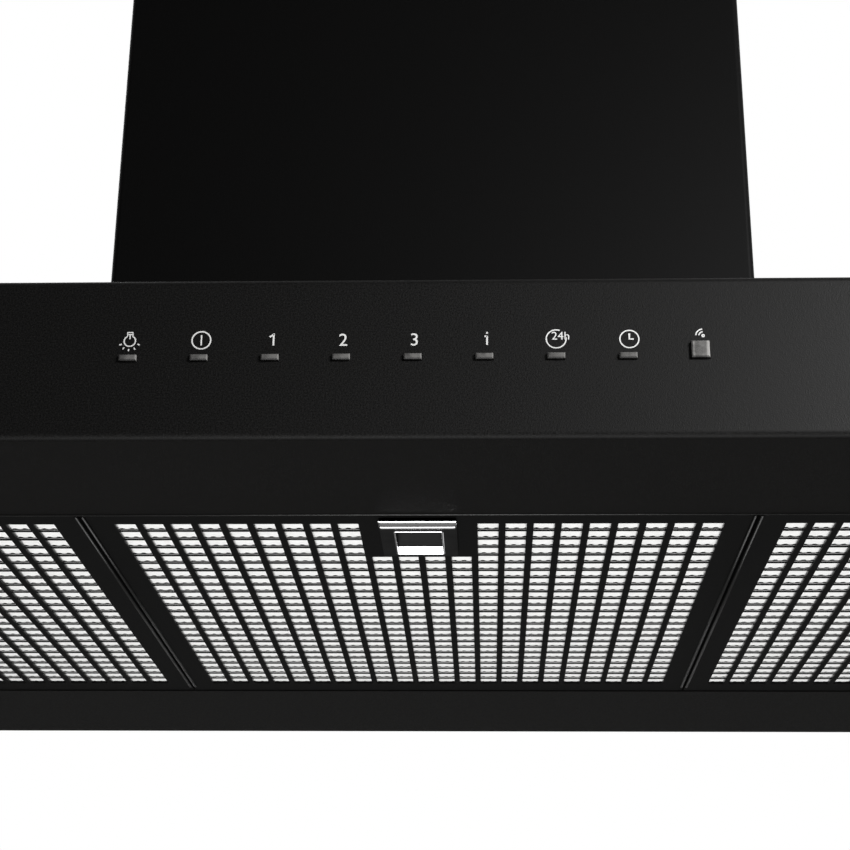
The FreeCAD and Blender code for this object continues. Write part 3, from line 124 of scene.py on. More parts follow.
def noise(tree, place, per_metre, detail=3.0):
    """Soft noise from 0 to 1, with so many patches to the metre."""
    texture = add(tree, "ShaderNodeTexNoise", Scale=per_metre, Detail=detail, Roughness=0.55)
    feed(tree, texture, Vector=place)
    return texture.outputs["Fac"]


def cells(tree, place, per_metre, output="Distance"):
    """A pattern of rounded cells, with so many cells to the metre."""
    texture = add(tree, "ShaderNodeTexVoronoi", Scale=per_metre)
    feed(tree, texture, Vector=place)
    return texture.outputs[output]


def ramp(tree, factor, dark, light, start=0.3, end=0.7):
    """A colour that runs from dark to light as factor goes from start to end."""
    node = add(tree, "ShaderNodeValToRGB")
    first, last = node.color_ramp.elements
    first.position, last.position = start, end
    first.color, last.color = (*dark, 1), (*light, 1)
    feed(tree, node, Fac=factor)
    return node.outputs["Color"]


def spread(tree, factor, low, high, start=0.3, end=0.7):
    """A number that runs from low to high as factor goes from start to end."""
    node = add(tree, "ShaderNodeMapRange", From_Min=start, From_Max=end, To_Min=low, To_Max=high)
    feed(tree, node, Value=factor)
    return node.outputs["Result"]


def bump(tree, height, depth, strength=1.0, under=None):
    """A bump whose relief is depth metres high, over another bump where one is given."""
    node = add(tree, "ShaderNodeBump", Strength=strength, Distance=depth)
    feed(tree, node, Height=height)
    if under:
        feed(tree, node, Normal=under)
    return node.outputs["Normal"]


# ---------------------------------------------------------------- kinds of finish

def surface(name, dark, light, rough, metallic=0.0, specular=0.5, patch=60, grain=1500,
            relief=0.02 * MM, stretch=(1, 1, 1), transmission=0.0):
    """A finish with soft patches of tone, a fine grain in its gloss and a fine relief."""
    material, tree, shader = new_material(name)
    place = object_place(tree, stretch)
    grains = noise(tree, place, grain, detail=2)
    feed(
        tree, shader,
        Base_Color=ramp(tree, noise(tree, place, patch), dark, light),
        Roughness=spread(tree, grains, *rough),
        Normal=bump(tree, grains, relief),
    )
    shader.inputs["Metallic"].default_value = metallic
    shader.inputs["Specular IOR Level"].default_value = specular
    shader.inputs["Transmission Weight"].default_value = transmission
    return material


SPECKS_PER_METRE = 1700
SPECK_RANGE = (0.42, 0.72)
PEEL_PER_METRE = 500
PEEL_RELIEF = 0.05 * MM
PAINT_FACING = (-0.9, -0.5)  # upward() of faces with the underside's sheen, and with the full sheen


def powder_coat(name, dark, light, rough, specular, underside, pebble=2600, relief=0.035 * MM):
    """Matt powder coat: small pebbles with paler specks, and less sheen on faces that look down."""
    material, tree, shader = new_material(name)
    place = object_place(tree)
    specks = noise(tree, place, SPECKS_PER_METRE)
    peel = bump(tree, noise(tree, place, PEEL_PER_METRE, detail=2), PEEL_RELIEF, strength=0.5)
    feed(
        tree, shader,
        Base_Color=ramp(tree, specks, dark, light, *SPECK_RANGE),
        Roughness=spread(tree, specks, *rough),
        Normal=bump(tree, cells(tree, place, pebble), relief, under=peel),
        Specular_IOR_Level=spread(tree, upward(tree), underside, specular, *PAINT_FACING),
    )
    return material


KEY_TONES = (0.045, 0.044, 0.043), (0.16, 0.157, 0.152)
KEY_TONE_RANGE = (0.4, 1.0)
KEY_PAINTED_LIGHT_SLOPE = 0.6  # painted light: how much paler a key grows across its width, towards the right
KEY_HIGHLIGHT_EDGES = (0.3, 0.37)  # where the painted highlights on the side edges start, as a share of the width from the middle
KEY_EDGE_HIGHLIGHT_GAIN = (2.2, 2.2, 2.2)
KEY_UNDERSIDE_PAINTED_SHADE = (0.06, 0.06, 0.06)
KEY_FACING = (-0.8, -0.4)  # upward() of faces in the underside's shade, and of faces in full light
KEY_PATCHES_PER_METRE = 420
KEY_GRAINS_PER_METRE = 2500
KEY_RELIEF = 0.01 * MM
KEY_ROUGHNESS = (0.2, 0.34)
KEY_SPECULAR = (0.03, 0.5)  # on the underside, and in full light
KEY_IOR = 1.49


def moulded_key(name):
    """Smoky clear plastic with a fine grain, and painted light: paler to the right, painted highlights
    on the side edges and painted shade on the underside.
    """
    material, tree, shader = new_material(name)
    place = object_place(tree)
    across = component(tree, "Generated", "X")
    off_middle = combine(tree, "ShaderNodeMath", "SUBTRACT", across, 0.5)
    edge = combine(tree, "ShaderNodeMath", "ABSOLUTE", off_middle)
    patches = noise(tree, place, KEY_PATCHES_PER_METRE)
    # Random patches of tone, plus painted light that grows paler to the right.
    tone = combine(tree, "ShaderNodeMath", "MULTIPLY_ADD", across, KEY_PAINTED_LIGHT_SLOPE, patches)
    lit = spread(tree, upward(tree), 0, 1, *KEY_FACING)
    body = ramp(tree, tone, *KEY_TONES, *KEY_TONE_RANGE)
    # Painted highlights: the side edges of each key are made paler.
    rim = ramp(tree, edge, WHITE, KEY_EDGE_HIGHLIGHT_GAIN, *KEY_HIGHLIGHT_EDGES)
    # Painted shade: faces that look down are darkened.
    shade = ramp(tree, lit, KEY_UNDERSIDE_PAINTED_SHADE, WHITE, 0, 1)
    tinted = combine(tree, "ShaderNodeVectorMath", "MULTIPLY", body, rim)
    grains = noise(tree, place, KEY_GRAINS_PER_METRE, detail=2)
    feed(
        tree, shader,
        Base_Color=combine(tree, "ShaderNodeVectorMath", "MULTIPLY", tinted, shade),
        Roughness=spread(tree, grains, *KEY_ROUGHNESS),
        Normal=bump(tree, grains, KEY_RELIEF),
        Specular_IOR_Level=spread(tree, lit, *KEY_SPECULAR, 0, 1),
    )
    shader.inputs["IOR"].default_value = KEY_IOR
    return material


ZINC_DARK, ZINC_LIGHT = (0.36, 0.37, 0.38), (0.58, 0.59, 0.6)
ZINC_ROUGHNESS = (0.28, 0.5)
ZINC_METALLIC = 0.9
SPANGLES_PER_METRE = 140
SPANGLE_RANGE = (0.1, 0.9)
ZINC_GRAINS_PER_METRE = 900
ZINC_RELIEF = 0.01 * MM


def galvanised(name):
    """Zinc-coated sheet with its crystal spangle."""
    material, tree, shader = new_material(name)
    place = object_place(tree)
    grey = add(tree, "ShaderNodeRGBToBW")
    feed(tree, grey, Color=cells(tree, place, SPANGLES_PER_METRE, output="Color"))
    tone = grey.outputs["Val"]
    feed(
        tree, shader,
        Base_Color=ramp(tree, tone, ZINC_DARK, ZINC_LIGHT, *SPANGLE_RANGE),
        Roughness=spread(tree, tone, *ZINC_ROUGHNESS, *SPANGLE_RANGE),
        Normal=bump(tree, noise(tree, place, ZINC_GRAINS_PER_METRE), ZINC_RELIEF),
    )
    shader.inputs["Metallic"].default_value = ZINC_METALLIC
    return material


TRACK_PATTERN = dict(Scale=120.0, Mortar_Size=0.04, Brick_Width=1.4, Row_Height=0.35)
LACQUER_TONES = (0.012, 0.07, 0.03, 1), (0.014, 0.09, 0.035, 1)
TRACK_TONE = (0.05, 0.2, 0.07, 1)
TRACK_RELIEF = 0.03 * MM
BOARD_ROUGHNESS = 0.35


def circuit_board(name):
    """Green lacquer over copper tracks that run along the board."""
    material, tree, shader = new_material(name)
    tracks = add(
        tree, "ShaderNodeTexBrick", **TRACK_PATTERN,
        Color1=LACQUER_TONES[0], Color2=LACQUER_TONES[1], Mortar=TRACK_TONE,
    )
    feed(tree, tracks, Vector=object_place(tree))
    relief = bump(tree, tracks.outputs["Fac"], TRACK_RELIEF)
    feed(tree, shader, Base_Color=tracks.outputs["Color"], Normal=relief)
    shader.inputs["Roughness"].default_value = BOARD_ROUGHNESS
    return material


# ---------------------------------------------------------------- finishes of this hood

PAINT_DARK, PAINT_LIGHT = (0.0022, 0.0021, 0.002), (0.0068, 0.0066, 0.0063)

PLAIN_FINISHES = {
    "bright_mesh": dict(
        dark=(0.86, 0.86, 0.85), light=(0.97, 0.97, 0.96), rough=(0.34, 0.5), metallic=0.1,
        patch=240, grain=2200, relief=0.03 * MM,
    ),
    "chrome": dict(
        dark=(0.8, 0.8, 0.81), light=(0.86, 0.86, 0.87), rough=(0.04, 0.09), metallic=1.0,
        patch=90, grain=700, relief=0.004 * MM,
    ),
    "spring_steel": dict(
        dark=(0.3, 0.3, 0.31), light=(0.45, 0.45, 0.46), rough=(0.25, 0.4), metallic=1.0,
        patch=200, relief=0.01 * MM,
    ),
    "satin_steel": dict(
        dark=(0.5, 0.5, 0.5), light=(0.62, 0.62, 0.62), rough=(0.22, 0.36), metallic=1.0,
        patch=120, grain=1400, relief=0.008 * MM, stretch=(0.08, 1, 1),
    ),
    "screw_steel": dict(
        dark=(0.16, 0.16, 0.16), light=(0.3, 0.3, 0.3), rough=(0.3, 0.45), metallic=1.0, patch=300,
    ),
    "motor_steel": dict(
        dark=(0.3, 0.31, 0.32), light=(0.42, 0.43, 0.44), rough=(0.35, 0.5), metallic=0.95,
        patch=70, stretch=(0.2, 1, 1),
    ),
    "lamp_aluminium": dict(
        dark=(0.45, 0.45, 0.46), light=(0.58, 0.58, 0.59), rough=(0.35, 0.5), metallic=1.0,
        patch=150, grain=900, relief=0.05 * MM,
    ),
    "frosted_glass": dict(
        dark=(0.78, 0.78, 0.76), light=(0.9, 0.9, 0.88), rough=(0.35, 0.5), transmission=0.45,
        patch=200, grain=1200, relief=0.03 * MM,
    ),
    "black_plastic": dict(
        dark=(0.003, 0.003, 0.003), light=(0.007, 0.007, 0.007), rough=(0.36, 0.5), specular=0.06,
        patch=160, grain=2600,
    ),
    "grey_plastic": dict(
        dark=(0.16, 0.165, 0.17), light=(0.22, 0.225, 0.23), rough=(0.45, 0.6),
        patch=50, grain=1800, relief=0.03 * MM,
    ),
    "fan_plastic": dict(
        dark=(0.1, 0.11, 0.12), light=(0.15, 0.16, 0.17), rough=(0.4, 0.55),
        grain=1600, relief=0.03 * MM,
    ),
    "white_plastic": dict(
        dark=(0.66, 0.66, 0.64), light=(0.78, 0.78, 0.76), rough=(0.4, 0.55), patch=80, grain=2000,
    ),
    "switch": dict(
        dark=(0.02, 0.02, 0.02), light=(0.05, 0.05, 0.05), rough=(0.3, 0.45), patch=300, grain=2200,
    ),
    # A dark copy of the mesh's aluminium for the folded sheet behind the ribbons: painted shade.
    "inner_mesh_painted_shade": dict(
        dark=(0.03, 0.03, 0.029), light=(0.1, 0.1, 0.098), rough=(0.4, 0.6), metallic=0.2,
        patch=420, grain=2200, relief=0.05 * MM,
    ),
    "white_print": dict(
        dark=(0.7, 0.7, 0.69), light=(0.82, 0.82, 0.81), rough=(0.5, 0.65),
        patch=900, grain=4000, relief=0.01 * MM,
    ),
}
MATERIALS = {name: surface(name, **finish) for name, finish in PLAIN_FINISHES.items()}
MATERIALS["black_paint"] = powder_coat(
    "black_paint", PAINT_DARK, PAINT_LIGHT, (0.4, 0.62), 0.22, 0.045
)
MATERIALS["filter_paint"] = powder_coat(
    "filter_paint", (0.0018, 0.0018, 0.0018), (0.005, 0.005, 0.0049), (0.42, 0.55), 0.2, 0.03,
    pebble=1800, relief=0.02 * MM,
)
MATERIALS["zinc"] = galvanised("zinc")
MATERIALS["clear_plastic"] = moulded_key("clear_plastic")
MATERIALS["board"] = circuit_board("board")
ROLLED_EDGE = powder_coat("rolled_edge", PAINT_DARK, PAINT_LIGHT, (0.26, 0.34), 0.3, 0.28)
# The chimney's black paint, made darker than the canopy's as painted shade.
SHADED_CHIMNEY_PAINT = powder_coat(
    "chimney_painted_shade", (0.001, 0.001, 0.001), (0.0035, 0.0034, 0.0033), (0.44, 0.58), 0.14, 0.05
)

for subpart in frame["record"]["subparts"]:
    node_object = frame["nodes"][subpart["node"]]
    node_object.data.materials.clear()
    node_object.data.materials.append(MATERIALS[subpart["material_slot"]])
# The chimney takes the darker paint as painted shade.
for node in ("lower_chimney", "upper_chimney"):
    frame["nodes"][node].data.materials[0] = SHADED_CHIMNEY_PAINT


# ---------------------------------------------------------------- pieces

def loft(builder, sections, closed=False):
    """Joins equal closed sections one after another, capped unless the last meets the first."""
    rings = [[builder.verts.new(point) for point in points] for points in sections]
    count = len(rings[0])
    pairs = list(zip(rings, rings[1:])) + ([(rings[-1], rings[0])] if closed else [])
    faces = []
    for before, after in pairs:
        for side in range(count):
            other = (side + 1) % count
            corners = (before[side], before[other], after[other], after[side])
            faces.append(builder.faces.new(corners))
    if not closed:
        faces.append(builder.faces.new(rings[0]))
        faces.append(builder.faces.new(reversed(rings[-1])))
    return faces


def section(profile, x, y, z, scale=1):
    """A profile in millimetres, along Y and up, stood at one place along X."""
    return [(x, y + along * MM, z + rise * MM * scale) for along, rise in profile]


def piece(name, builder, material, body, smooth=False):
    """A mesh object from a filled bmesh, riding on a body and taking the given finish."""
    bmesh.ops.recalc_face_normals(builder, faces=builder.faces)
    mesh = bpy.data.meshes.new(name)
    builder.to_mesh(mesh)
    builder.free()
    mesh.materials.append(material)
    for polygon in mesh.polygons:
        polygon.use_smooth = smooth
    made = bpy.data.objects.new(name, mesh)
    bpy.context.scene.collection.objects.link(made)
    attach(made, body)
    return made


# Around each latch the filter is blank, so the mesh and the bars stop at both sides of it.
CELL_PITCH = 11.2 * MM
BLANK_HALF = 2 * CELL_PITCH
BLANK_DEPTH = 4 * CELL_PITCH
BLANK_MARGIN = 0.6 * MM


def beside_latch(place, low, high, half):
    """The two stretches along X at the sides of a filter's latch."""
    latch_low, latch_high = box_corners(f"filter_{place}_latch")
    centre = (latch_low.x + latch_high.x) / 2
    return [(low.x, centre - half), (centre + half, high.x)]


# Expanded mesh: ribbons that run along X, with lens-shaped slits between them, over a folded sheet.
SLIT_PITCH = 4.0 * MM
SLIT_BRIDGE = 0.27  # share of the pitch that stays whole
SLIT_SHIFT = 0.11  # share of the pitch by which each row of cells is moved on
SLIT_STEPS = 8
SLIT_WIDTHS = (0.4 * MM, 0.35 * MM, 0.5 * MM, 2.2 * MM)
RIBBON_FRONTS = (0.45 * MM, 0.45 * MM, 0.4 * MM, 0.12 * MM)
RIBBONS_PER_CELL = len(RIBBON_FRONTS)
RIBBON = CELL_PITCH / RIBBONS_PER_CELL
RIBBON_SHEET = 0.15 * MM
MESH_OFFSET = 1.8 * MM
FOLD_SHEET = 0.2 * MM
FOLD_CLEARANCE = 4 * RIBBON_SHEET + 0.45 * MM


def slit_opening(x, joint):
    """How wide one joint's slit is at x: a lens, then a bridge, staggered from joint to joint."""
    row, kind = divmod(joint, RIBBONS_PER_CELL)
    phase = (x / SLIT_PITCH + 0.5 * joint + SLIT_SHIFT * row) % 1.0
    lens = phase / (1 - SLIT_BRIDGE)
    return 0.0 if lens >= 1 else SLIT_WIDTHS[kind] * math.sin(math.pi * lens)


def ribbon_sections(number, front_y, x_low, x_high, bottom):
    """Sections of one ribbon of the mesh; its front edge stands higher than its back edge."""
    columns = max(2, round((x_high - x_low) / (SLIT_PITCH / SLIT_STEPS)) + 1)
    rise = RIBBON_FRONTS[number % RIBBONS_PER_CELL]
    for column in range(columns):
        x = x_low + (x_high - x_low) * column / (columns - 1)
        front = front_y + slit_opening(x, number) / 2
        back = front_y + RIBBON - slit_opening(x, number + 1) / 2
        yield (
            (x, front, bottom + rise), (x, back, bottom),
            (x, back, bottom + RIBBON_SHEET), (x, front, bottom + rise + RIBBON_SHEET),
        )


def fold_sections(x_low, x_high, y_low, y_high, z_low, z_high):
    """Sections of a thin sheet that is folded up and down once every two cells."""
    folds = round((y_high - y_low) / CELL_PITCH)
    for fold in range(folds + 1):
        y = y_low + (y_high - y_low) * fold / folds
        z = z_high if fold % 2 else z_low
        corners = ((x_low, z), (x_high, z), (x_high, z + FOLD_SHEET), (x_low, z + FOLD_SHEET))
        yield [(x, y, height) for x, height in corners]


for place in PLACES:
    low, high = box_corners(f"filter_{place}_mesh")
    blank_rear = low.y + BLANK_DEPTH
    beside = beside_latch(place, low, high, BLANK_HALF + BLANK_MARGIN)
    builder = bmesh.new()
    for number in range(-1, int((high.y - low.y - MESH_OFFSET) / RIBBON)):
        front_y = low.y + MESH_OFFSET + number * RIBBON
        for x_low, x_high in beside if front_y < blank_rear else [(low.x, high.x)]:
            loft(builder, ribbon_sections(number, front_y, x_low, x_high, low.z))
    # The folded sheet takes the second, darker finish as painted shade.
    for face in loft(builder, fold_sections(
        low.x, high.x, blank_rear + CELL_PITCH, high.y, low.z + FOLD_CLEARANCE, high.z - FOLD_SHEET
    )):
        face.material_index = 1
    sheet = piece(
        f"expanded_mesh_{place}", builder, MATERIALS["bright_mesh"], f"filter_{place}"
    )
    sheet.data.materials.append(MATERIALS["inner_mesh_painted_shade"])
    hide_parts(f"filter_{place}_mesh")


# Cross bars: flat wires with rounded edges behind the slotted face. Profile from the back edge, in mm.
BAR_PROFILE = ((-0.75, 0.45), (-0.75, 0.1), (-0.6, 0.0), (0.42, 0.0), (0.57, 0.1), (0.57, 0.45))

for place in PLACES:
    low, high = box_corners(f"filter_{place}_cross_bars")
    pitches = int((high.y - low.y) / CELL_PITCH)
    bar_width = high.y - low.y - pitches * CELL_PITCH
    blank_rear = box_corners(f"filter_{place}_mesh")[0].y + BLANK_DEPTH
    beside = beside_latch(place, low, high, BLANK_HALF)
    builder = bmesh.new()
    for row in range(pitches + 1):
        back = low.y + bar_width + row * CELL_PITCH
        for span in beside if back < blank_rear + bar_width else [(low.x, high.x)]:
            loft(builder, [section(BAR_PROFILE, x, back, low.z) for x in span])
    bars = piece(
        f"cross_bars_{place}", builder, MATERIALS["filter_paint"], f"filter_{place}"
    )
    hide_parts(f"filter_{place}_cross_bars")


# Latch trim: a chromed grip bar with a groove, the recess's rim and the liner on its ramp.
# Profiles are in mm, along Y (the rim's across its edge) and up from the slider's face.
GRIP_PROFILE = (
    (0.0, 0.0), (0.0, -0.15), (0.35, -0.52), (0.6, -0.62), (2.2, -0.78), (3.8, -0.9), (4.0, -0.86),
    (4.04, -1.2), (4.3, -1.4), (4.8, -1.56), (5.3, -1.6), (5.7, -1.5), (6.0, -1.0), (6.1, 0.0),
)
GRIP_END_STEPS = ((0.0, 0.35), (0.25, 0.7), (0.7, 0.93), (1.3, 1.0))  # from the end, share of height
RIM_PROFILE = (
    (0.0, 0.0), (0.06, -0.3), (0.2, -0.45), (0.4, -0.5), (0.6, -0.45), (0.74, -0.3), (0.8, 0.0),
)
RIM_WIDTH = 0.8 * MM
RIM_LENGTH = 30.7 * MM
RIM_HALF = 10.05 * MM
RIM_CORNER = 0.9 * MM
RIM_CORNER_STEPS = 5
LINER_PROFILE = (
    (0.0, -0.2), (0.0, 0.0), (-0.35, 0.26), (-2.57, 1.9), (-2.87, 1.9), (-2.3, 1.45), (-0.4, 0.05),
)


def rounded_loop(x_low, x_high, y_low, y_high, radius):
    """Points round a rectangle with rounded corners, each with its outward direction."""
    corners = (
        (x_high - radius, y_low + radius, -90), (x_high - radius, y_high - radius, 0),
        (x_low + radius, y_high - radius, 90), (x_low + radius, y_low + radius, 180),
    )
    for centre_x, centre_y, start in corners:
        for step in range(RIM_CORNER_STEPS + 1):
            angle = math.radians(start + 90 * step / RIM_CORNER_STEPS)
            outward = Vector((math.cos(angle), math.sin(angle), 0))
            yield Vector((centre_x, centre_y, 0)) + outward * radius, outward


for place in PLACES:
    low, high = box_corners(f"filter_{place}_latch_trim")
    face_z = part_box(f"filter_{place}_latch")[0][2]
    builder = bmesh.new()
    ends = [(low.x + inset * MM, scale) for inset, scale in GRIP_END_STEPS]
    ends += [(high.x - inset * MM, scale) for inset, scale in reversed(GRIP_END_STEPS)]
    loft(builder, [section(GRIP_PROFILE, x, low.y, face_z, scale) for x, scale in ends])
    centre = (low.x + high.x) / 2
    rim = rounded_loop(centre - RIM_HALF, centre + RIM_HALF, high.y - RIM_LENGTH, high.y, RIM_CORNER)
    loft(builder, [
        [
            point + Vector((0, 0, face_z)) + outward * (across * MM - RIM_WIDTH)
            + Vector((0, 0, rise * MM))
            for across, rise in RIM_PROFILE
        ]
        for point, outward in rim
    ], closed=True)
    loft(builder, [
        section(LINER_PROFILE, x, high.y - RIM_WIDTH, face_z)
        for x in (centre - RIM_HALF + RIM_WIDTH, centre + RIM_HALF - RIM_WIDTH)
    ])
    trim = piece(f"latch_trim_{place}", builder, MATERIALS["chrome"], f"latch_{place}")
    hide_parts(f"filter_{place}_latch_trim")


# Rounded edges: the bead at the rear of the front strip and the rolled sides of the filter frames.
HALF_ROUND_STEPS = 8
END_INSET = 1 * MM
BEAD_RADIUS = 0.6 * MM
BEAD_SINK = 0.1 * MM
ROLL_RADIUS = 0.75 * MM
ROLL_INSET = 0.1 * MM
ROLL_END = 14 * MM  # keeps a filter's rolls clear of the rear panel when it swings down


def half_round(centre, top, radius):
    """A half circle that hangs down from top, as places across and heights."""
    turns = [math.pi * step / HALF_ROUND_STEPS for step in range(HALF_ROUND_STEPS + 1)]
    return [(centre - radius * math.cos(turn), top - radius * math.sin(turn)) for turn in turns]


builder = bmesh.new()
bead = half_round(PANEL_HIGH.y - BEAD_RADIUS, UNDERSIDE_Z + BEAD_SINK, BEAD_RADIUS)
loft(builder, [
    [(x, y, z) for y, z in bead] for x in (PANEL_LOW.x + END_INSET, PANEL_HIGH.x - END_INSET)
])
piece("strip_bead", builder, ROLLED_EDGE, HOOD, smooth=True)

for place in PLACES:
    low, high = box_corners(f"filter_{place}_frame")
    builder = bmesh.new()
    for centre in (low.x + ROLL_RADIUS + ROLL_INSET, high.x - ROLL_RADIUS - ROLL_INSET):
        roll = half_round(centre, low.z, ROLL_RADIUS)
        loft(builder, [
            [(x, y, z) for x, z in roll] for y in (low.y + END_INSET, high.y - ROLL_END)
        ])
    piece(
        f"frame_roll_{place}", builder, ROLLED_EDGE, f"filter_{place}", smooth=True
    )


# Lamp lenses: pressed glass with stepped rings round a domed middle.
LENS_DOME = ((0.2, 0.1), (3.0, 0.15), (6.0, 0.5))  # radius and height, in mm
LENS_GROOVE = ((0.0, 0.9), (0.3, 0.3), (0.75, 0.3), (0.95, 0.8))  # share of a ring, height in mm
LENS_RINGS = 5
LENS_RINGS_START = 7.0 * MM
LENS_RADIUS = 24.9 * MM
LENS_EDGE = 1.0 * MM
LENS_BACK = 2.8 * MM
LENS_SIDES = 72


def lens_profile():
    """Radius and height of the lens from its middle to its rim, seen side first, and back again."""
    for radius, height in LENS_DOME:
        yield radius * MM, height * MM
    pitch = (LENS_RADIUS - LENS_RINGS_START) / LENS_RINGS
    for ring in range(LENS_RINGS):
        for share, height in LENS_GROOVE:
            yield LENS_RINGS_START + ring * pitch + share * pitch, height * MM
    yield LENS_RADIUS, LENS_EDGE
    yield LENS_RADIUS, LENS_BACK
    yield LENS_DOME[0][0] * MM, LENS_BACK


low, high = box_corners("lamp_lenses")
centre_y = (low.y + high.y) / 2
turns = [2 * math.pi * side / LENS_SIDES for side in range(LENS_SIDES)]
builder = bmesh.new()
for centre_x in (low.x + LENS_RADIUS, high.x - LENS_RADIUS):
    loft(builder, [
        [
            (centre_x + radius * math.cos(turn), centre_y + radius * math.sin(turn), low.z + height)
            for turn in turns
        ]
        for radius, height in lens_profile()
    ])
lenses = piece("pressed_lenses", builder, MATERIALS["frosted_glass"], HOOD)
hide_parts("lamp_lenses")


# ---------------------------------------------------------------- printed symbols on the front panel

PRINT_SHEET = 0.06 * MM
SYMBOL_RISE = 7.0 * MM
SYMBOL_SHIFT = 0.55 * MM
LIGHT_SHIFT = 0.3 * MM
REMOTE_RISE = 38.9 * MM
DIGIT_HEIGHT = 5.0 * MM
HOURS_HEIGHT = 3.2 * MM
HOURS_SHIFT, HOURS_RISE = 1.1 * MM, 0.85 * MM
LETTER_DROP = 0.4 * MM
DIGIT_SHARE = 0.73  # height of a digit as a share of the text's size
FINE, MEDIUM, BROAD = 0.45 * MM, 0.5 * MM, 0.62 * MM


def printed(name, curve, x, z):
    """Stands a flat curve or text up on the panel as a thin print: its X to the right, its Y up."""
    curve.extrude = PRINT_SHEET / 2
    curve.materials.append(MATERIALS["white_print"])
    made = bpy.data.objects.new(name, curve)
    bpy.context.scene.collection.objects.link(made)
    place = Matrix.Translation((x, FACE_Y - PRINT_SHEET / 2, z))
    made.matrix_world = place @ Matrix.Rotation(math.radians(90), 4, "X")
    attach(made, HOOD)


def lettering(name, text, x, z, height):
    """A line of text, centred on its place."""
    curve = bpy.data.curves.new(name, "FONT")
    curve.body = text
    curve.align_x, curve.align_y = "CENTER", "CENTER"
    curve.size = height / DIGIT_SHARE
    curve.resolution_u = 6
    printed(name, curve, x, z)


def strokes(name, lines, x, z, width):
    """Line drawing: each line is a list of points in millimetres, drawn as a flat ribbon."""
    curve = bpy.data.curves.new(name, "CURVE")
    curve.dimensions = "2D"
    curve.fill_mode = "BOTH"
    for points in lines:
        closed = points[0] == points[-1]
        for loop in ribbon_outline([Vector(point) * MM for point in points], width, closed):
            spline = curve.splines.new("POLY")
            spline.points.add(len(loop) - 1)
            for point, place in zip(spline.points, loop):
                point.co = (place.x, place.y, 0, 1)
            spline.use_cyclic_u = True
    printed(name, curve, x, z)


def ribbon_outline(points, width, closed):
    """The edge loops of a line of the given width: two loops when the line is closed."""
    if closed:
        points = points[:-1]
    count = len(points)
    left, right = [], []
    for number, point in enumerate(points):
        before = points[(number - 1) % count] if closed or number else point
        after = points[(number + 1) % count] if closed or number < count - 1 else point
        along = (after - before).normalized()
        across = Vector((-along.y, along.x)) * width / 2
        left.append(point + across)
        right.append(point - across)
    return [left, right[::-1]] if closed else [left + right[::-1]]


def on_circle(centre, radius, degrees):
    angle = math.radians(degrees)
    return centre[0] + radius * math.cos(angle), centre[1] + radius * math.sin(angle)


def arc(centre, radius, start, end, steps=40):
    """Points of an arc in degrees, anticlockwise from the right."""
    return [
        on_circle(centre, radius, start + (end - start) * number / steps)
        for number in range(steps + 1)
    ]


def full_circle(radius):
    ring = arc((0, 0), radius, 0, 360)
    ring[-1] = ring[0]
    return ring


BULB, BULB_RADIUS = (0, -0.15), 2.05
RAY_ENDS = (3.05, 3.95)
RAY_DEGREES = (-157, -127, -94, -58, -23)
DIAL = full_circle(3.35)
BEAM = (1.2, -0.55)

LIGHT = [
    arc(BULB, BULB_RADIUS, 118, 422),
    [(-0.95, 1.65), (-0.95, 3.2), (0.95, 3.2), (0.95, 1.65)],
    [(-0.7, 2.4), (0.7, 2.4)],
    [(0, 2.2), (0, 0.6)],
    *([on_circle(BULB, radius, degrees) for radius in RAY_ENDS] for degrees in RAY_DEGREES),
]
POWER = [DIAL, [(0, -2.0), (0, 2.0)]]
ONE = [[(0.5, -2.2), (0.5, 2.5)], [(0.45, 2.3), (-0.15, 1.6), (-0.95, 1.15)]]
BOOST = [[(0.4, -2.4), (0.4, 1.15)], [(-0.5, 0.95), (0.4, 0.95)], [(0.4, 1.95), (0.4, 2.65)]]
DAY = [arc((-0.5, -0.2), 3.5, 68, 370)]
HANDS = [[(0, 2.2), (0, 0), (1.5, 0)]]
REMOTE = [arc(BEAM, 0.42, 0, 350, 16), arc(BEAM, 1.5, 95, 175, 12), arc(BEAM, 2.55, 95, 175, 16)]


def over_key(name):
    """Where a key's symbol goes along X."""
    low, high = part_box(f"key_{name}")
    return (low[0] + high[0]) / 2 + SYMBOL_SHIFT


light_low, light_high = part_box("key_light")
symbol_z = (light_low[2] + light_high[2]) / 2 + SYMBOL_RISE
window_low, window_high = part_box("receiver_window")
window_x = (window_low[0] + window_high[0]) / 2

strokes("symbol_light", LIGHT, over_key("light") - LIGHT_SHIFT, symbol_z, FINE)
strokes("symbol_power", POWER, over_key("power"), symbol_z, MEDIUM)
strokes("symbol_1", ONE, over_key("speed_1"), symbol_z, BROAD)
lettering("symbol_2", "2", over_key("speed_2"), symbol_z - LETTER_DROP, DIGIT_HEIGHT)
lettering("symbol_3", "3", over_key("speed_3"), symbol_z - LETTER_DROP, DIGIT_HEIGHT)
strokes("symbol_boost", BOOST, over_key("boost"), symbol_z, BROAD)
strokes("symbol_day", DAY, over_key("day"), symbol_z, FINE)
lettering(
    "symbol_day_hours", "24h", over_key("day") + HOURS_SHIFT, symbol_z + HOURS_RISE, HOURS_HEIGHT
)
strokes("symbol_timer", [DIAL], over_key("timer"), symbol_z - LETTER_DROP, FINE)
strokes("symbol_timer_hands", HANDS, over_key("timer"), symbol_z - LETTER_DROP, BROAD)
strokes("symbol_remote", REMOTE, window_x, UNDERSIDE_Z + REMOTE_RISE, FINE)


# ---------------------------------------------------------------- stage, light, camera

FLOOR_Z = -2.0
STAGE_HALF = 60.0

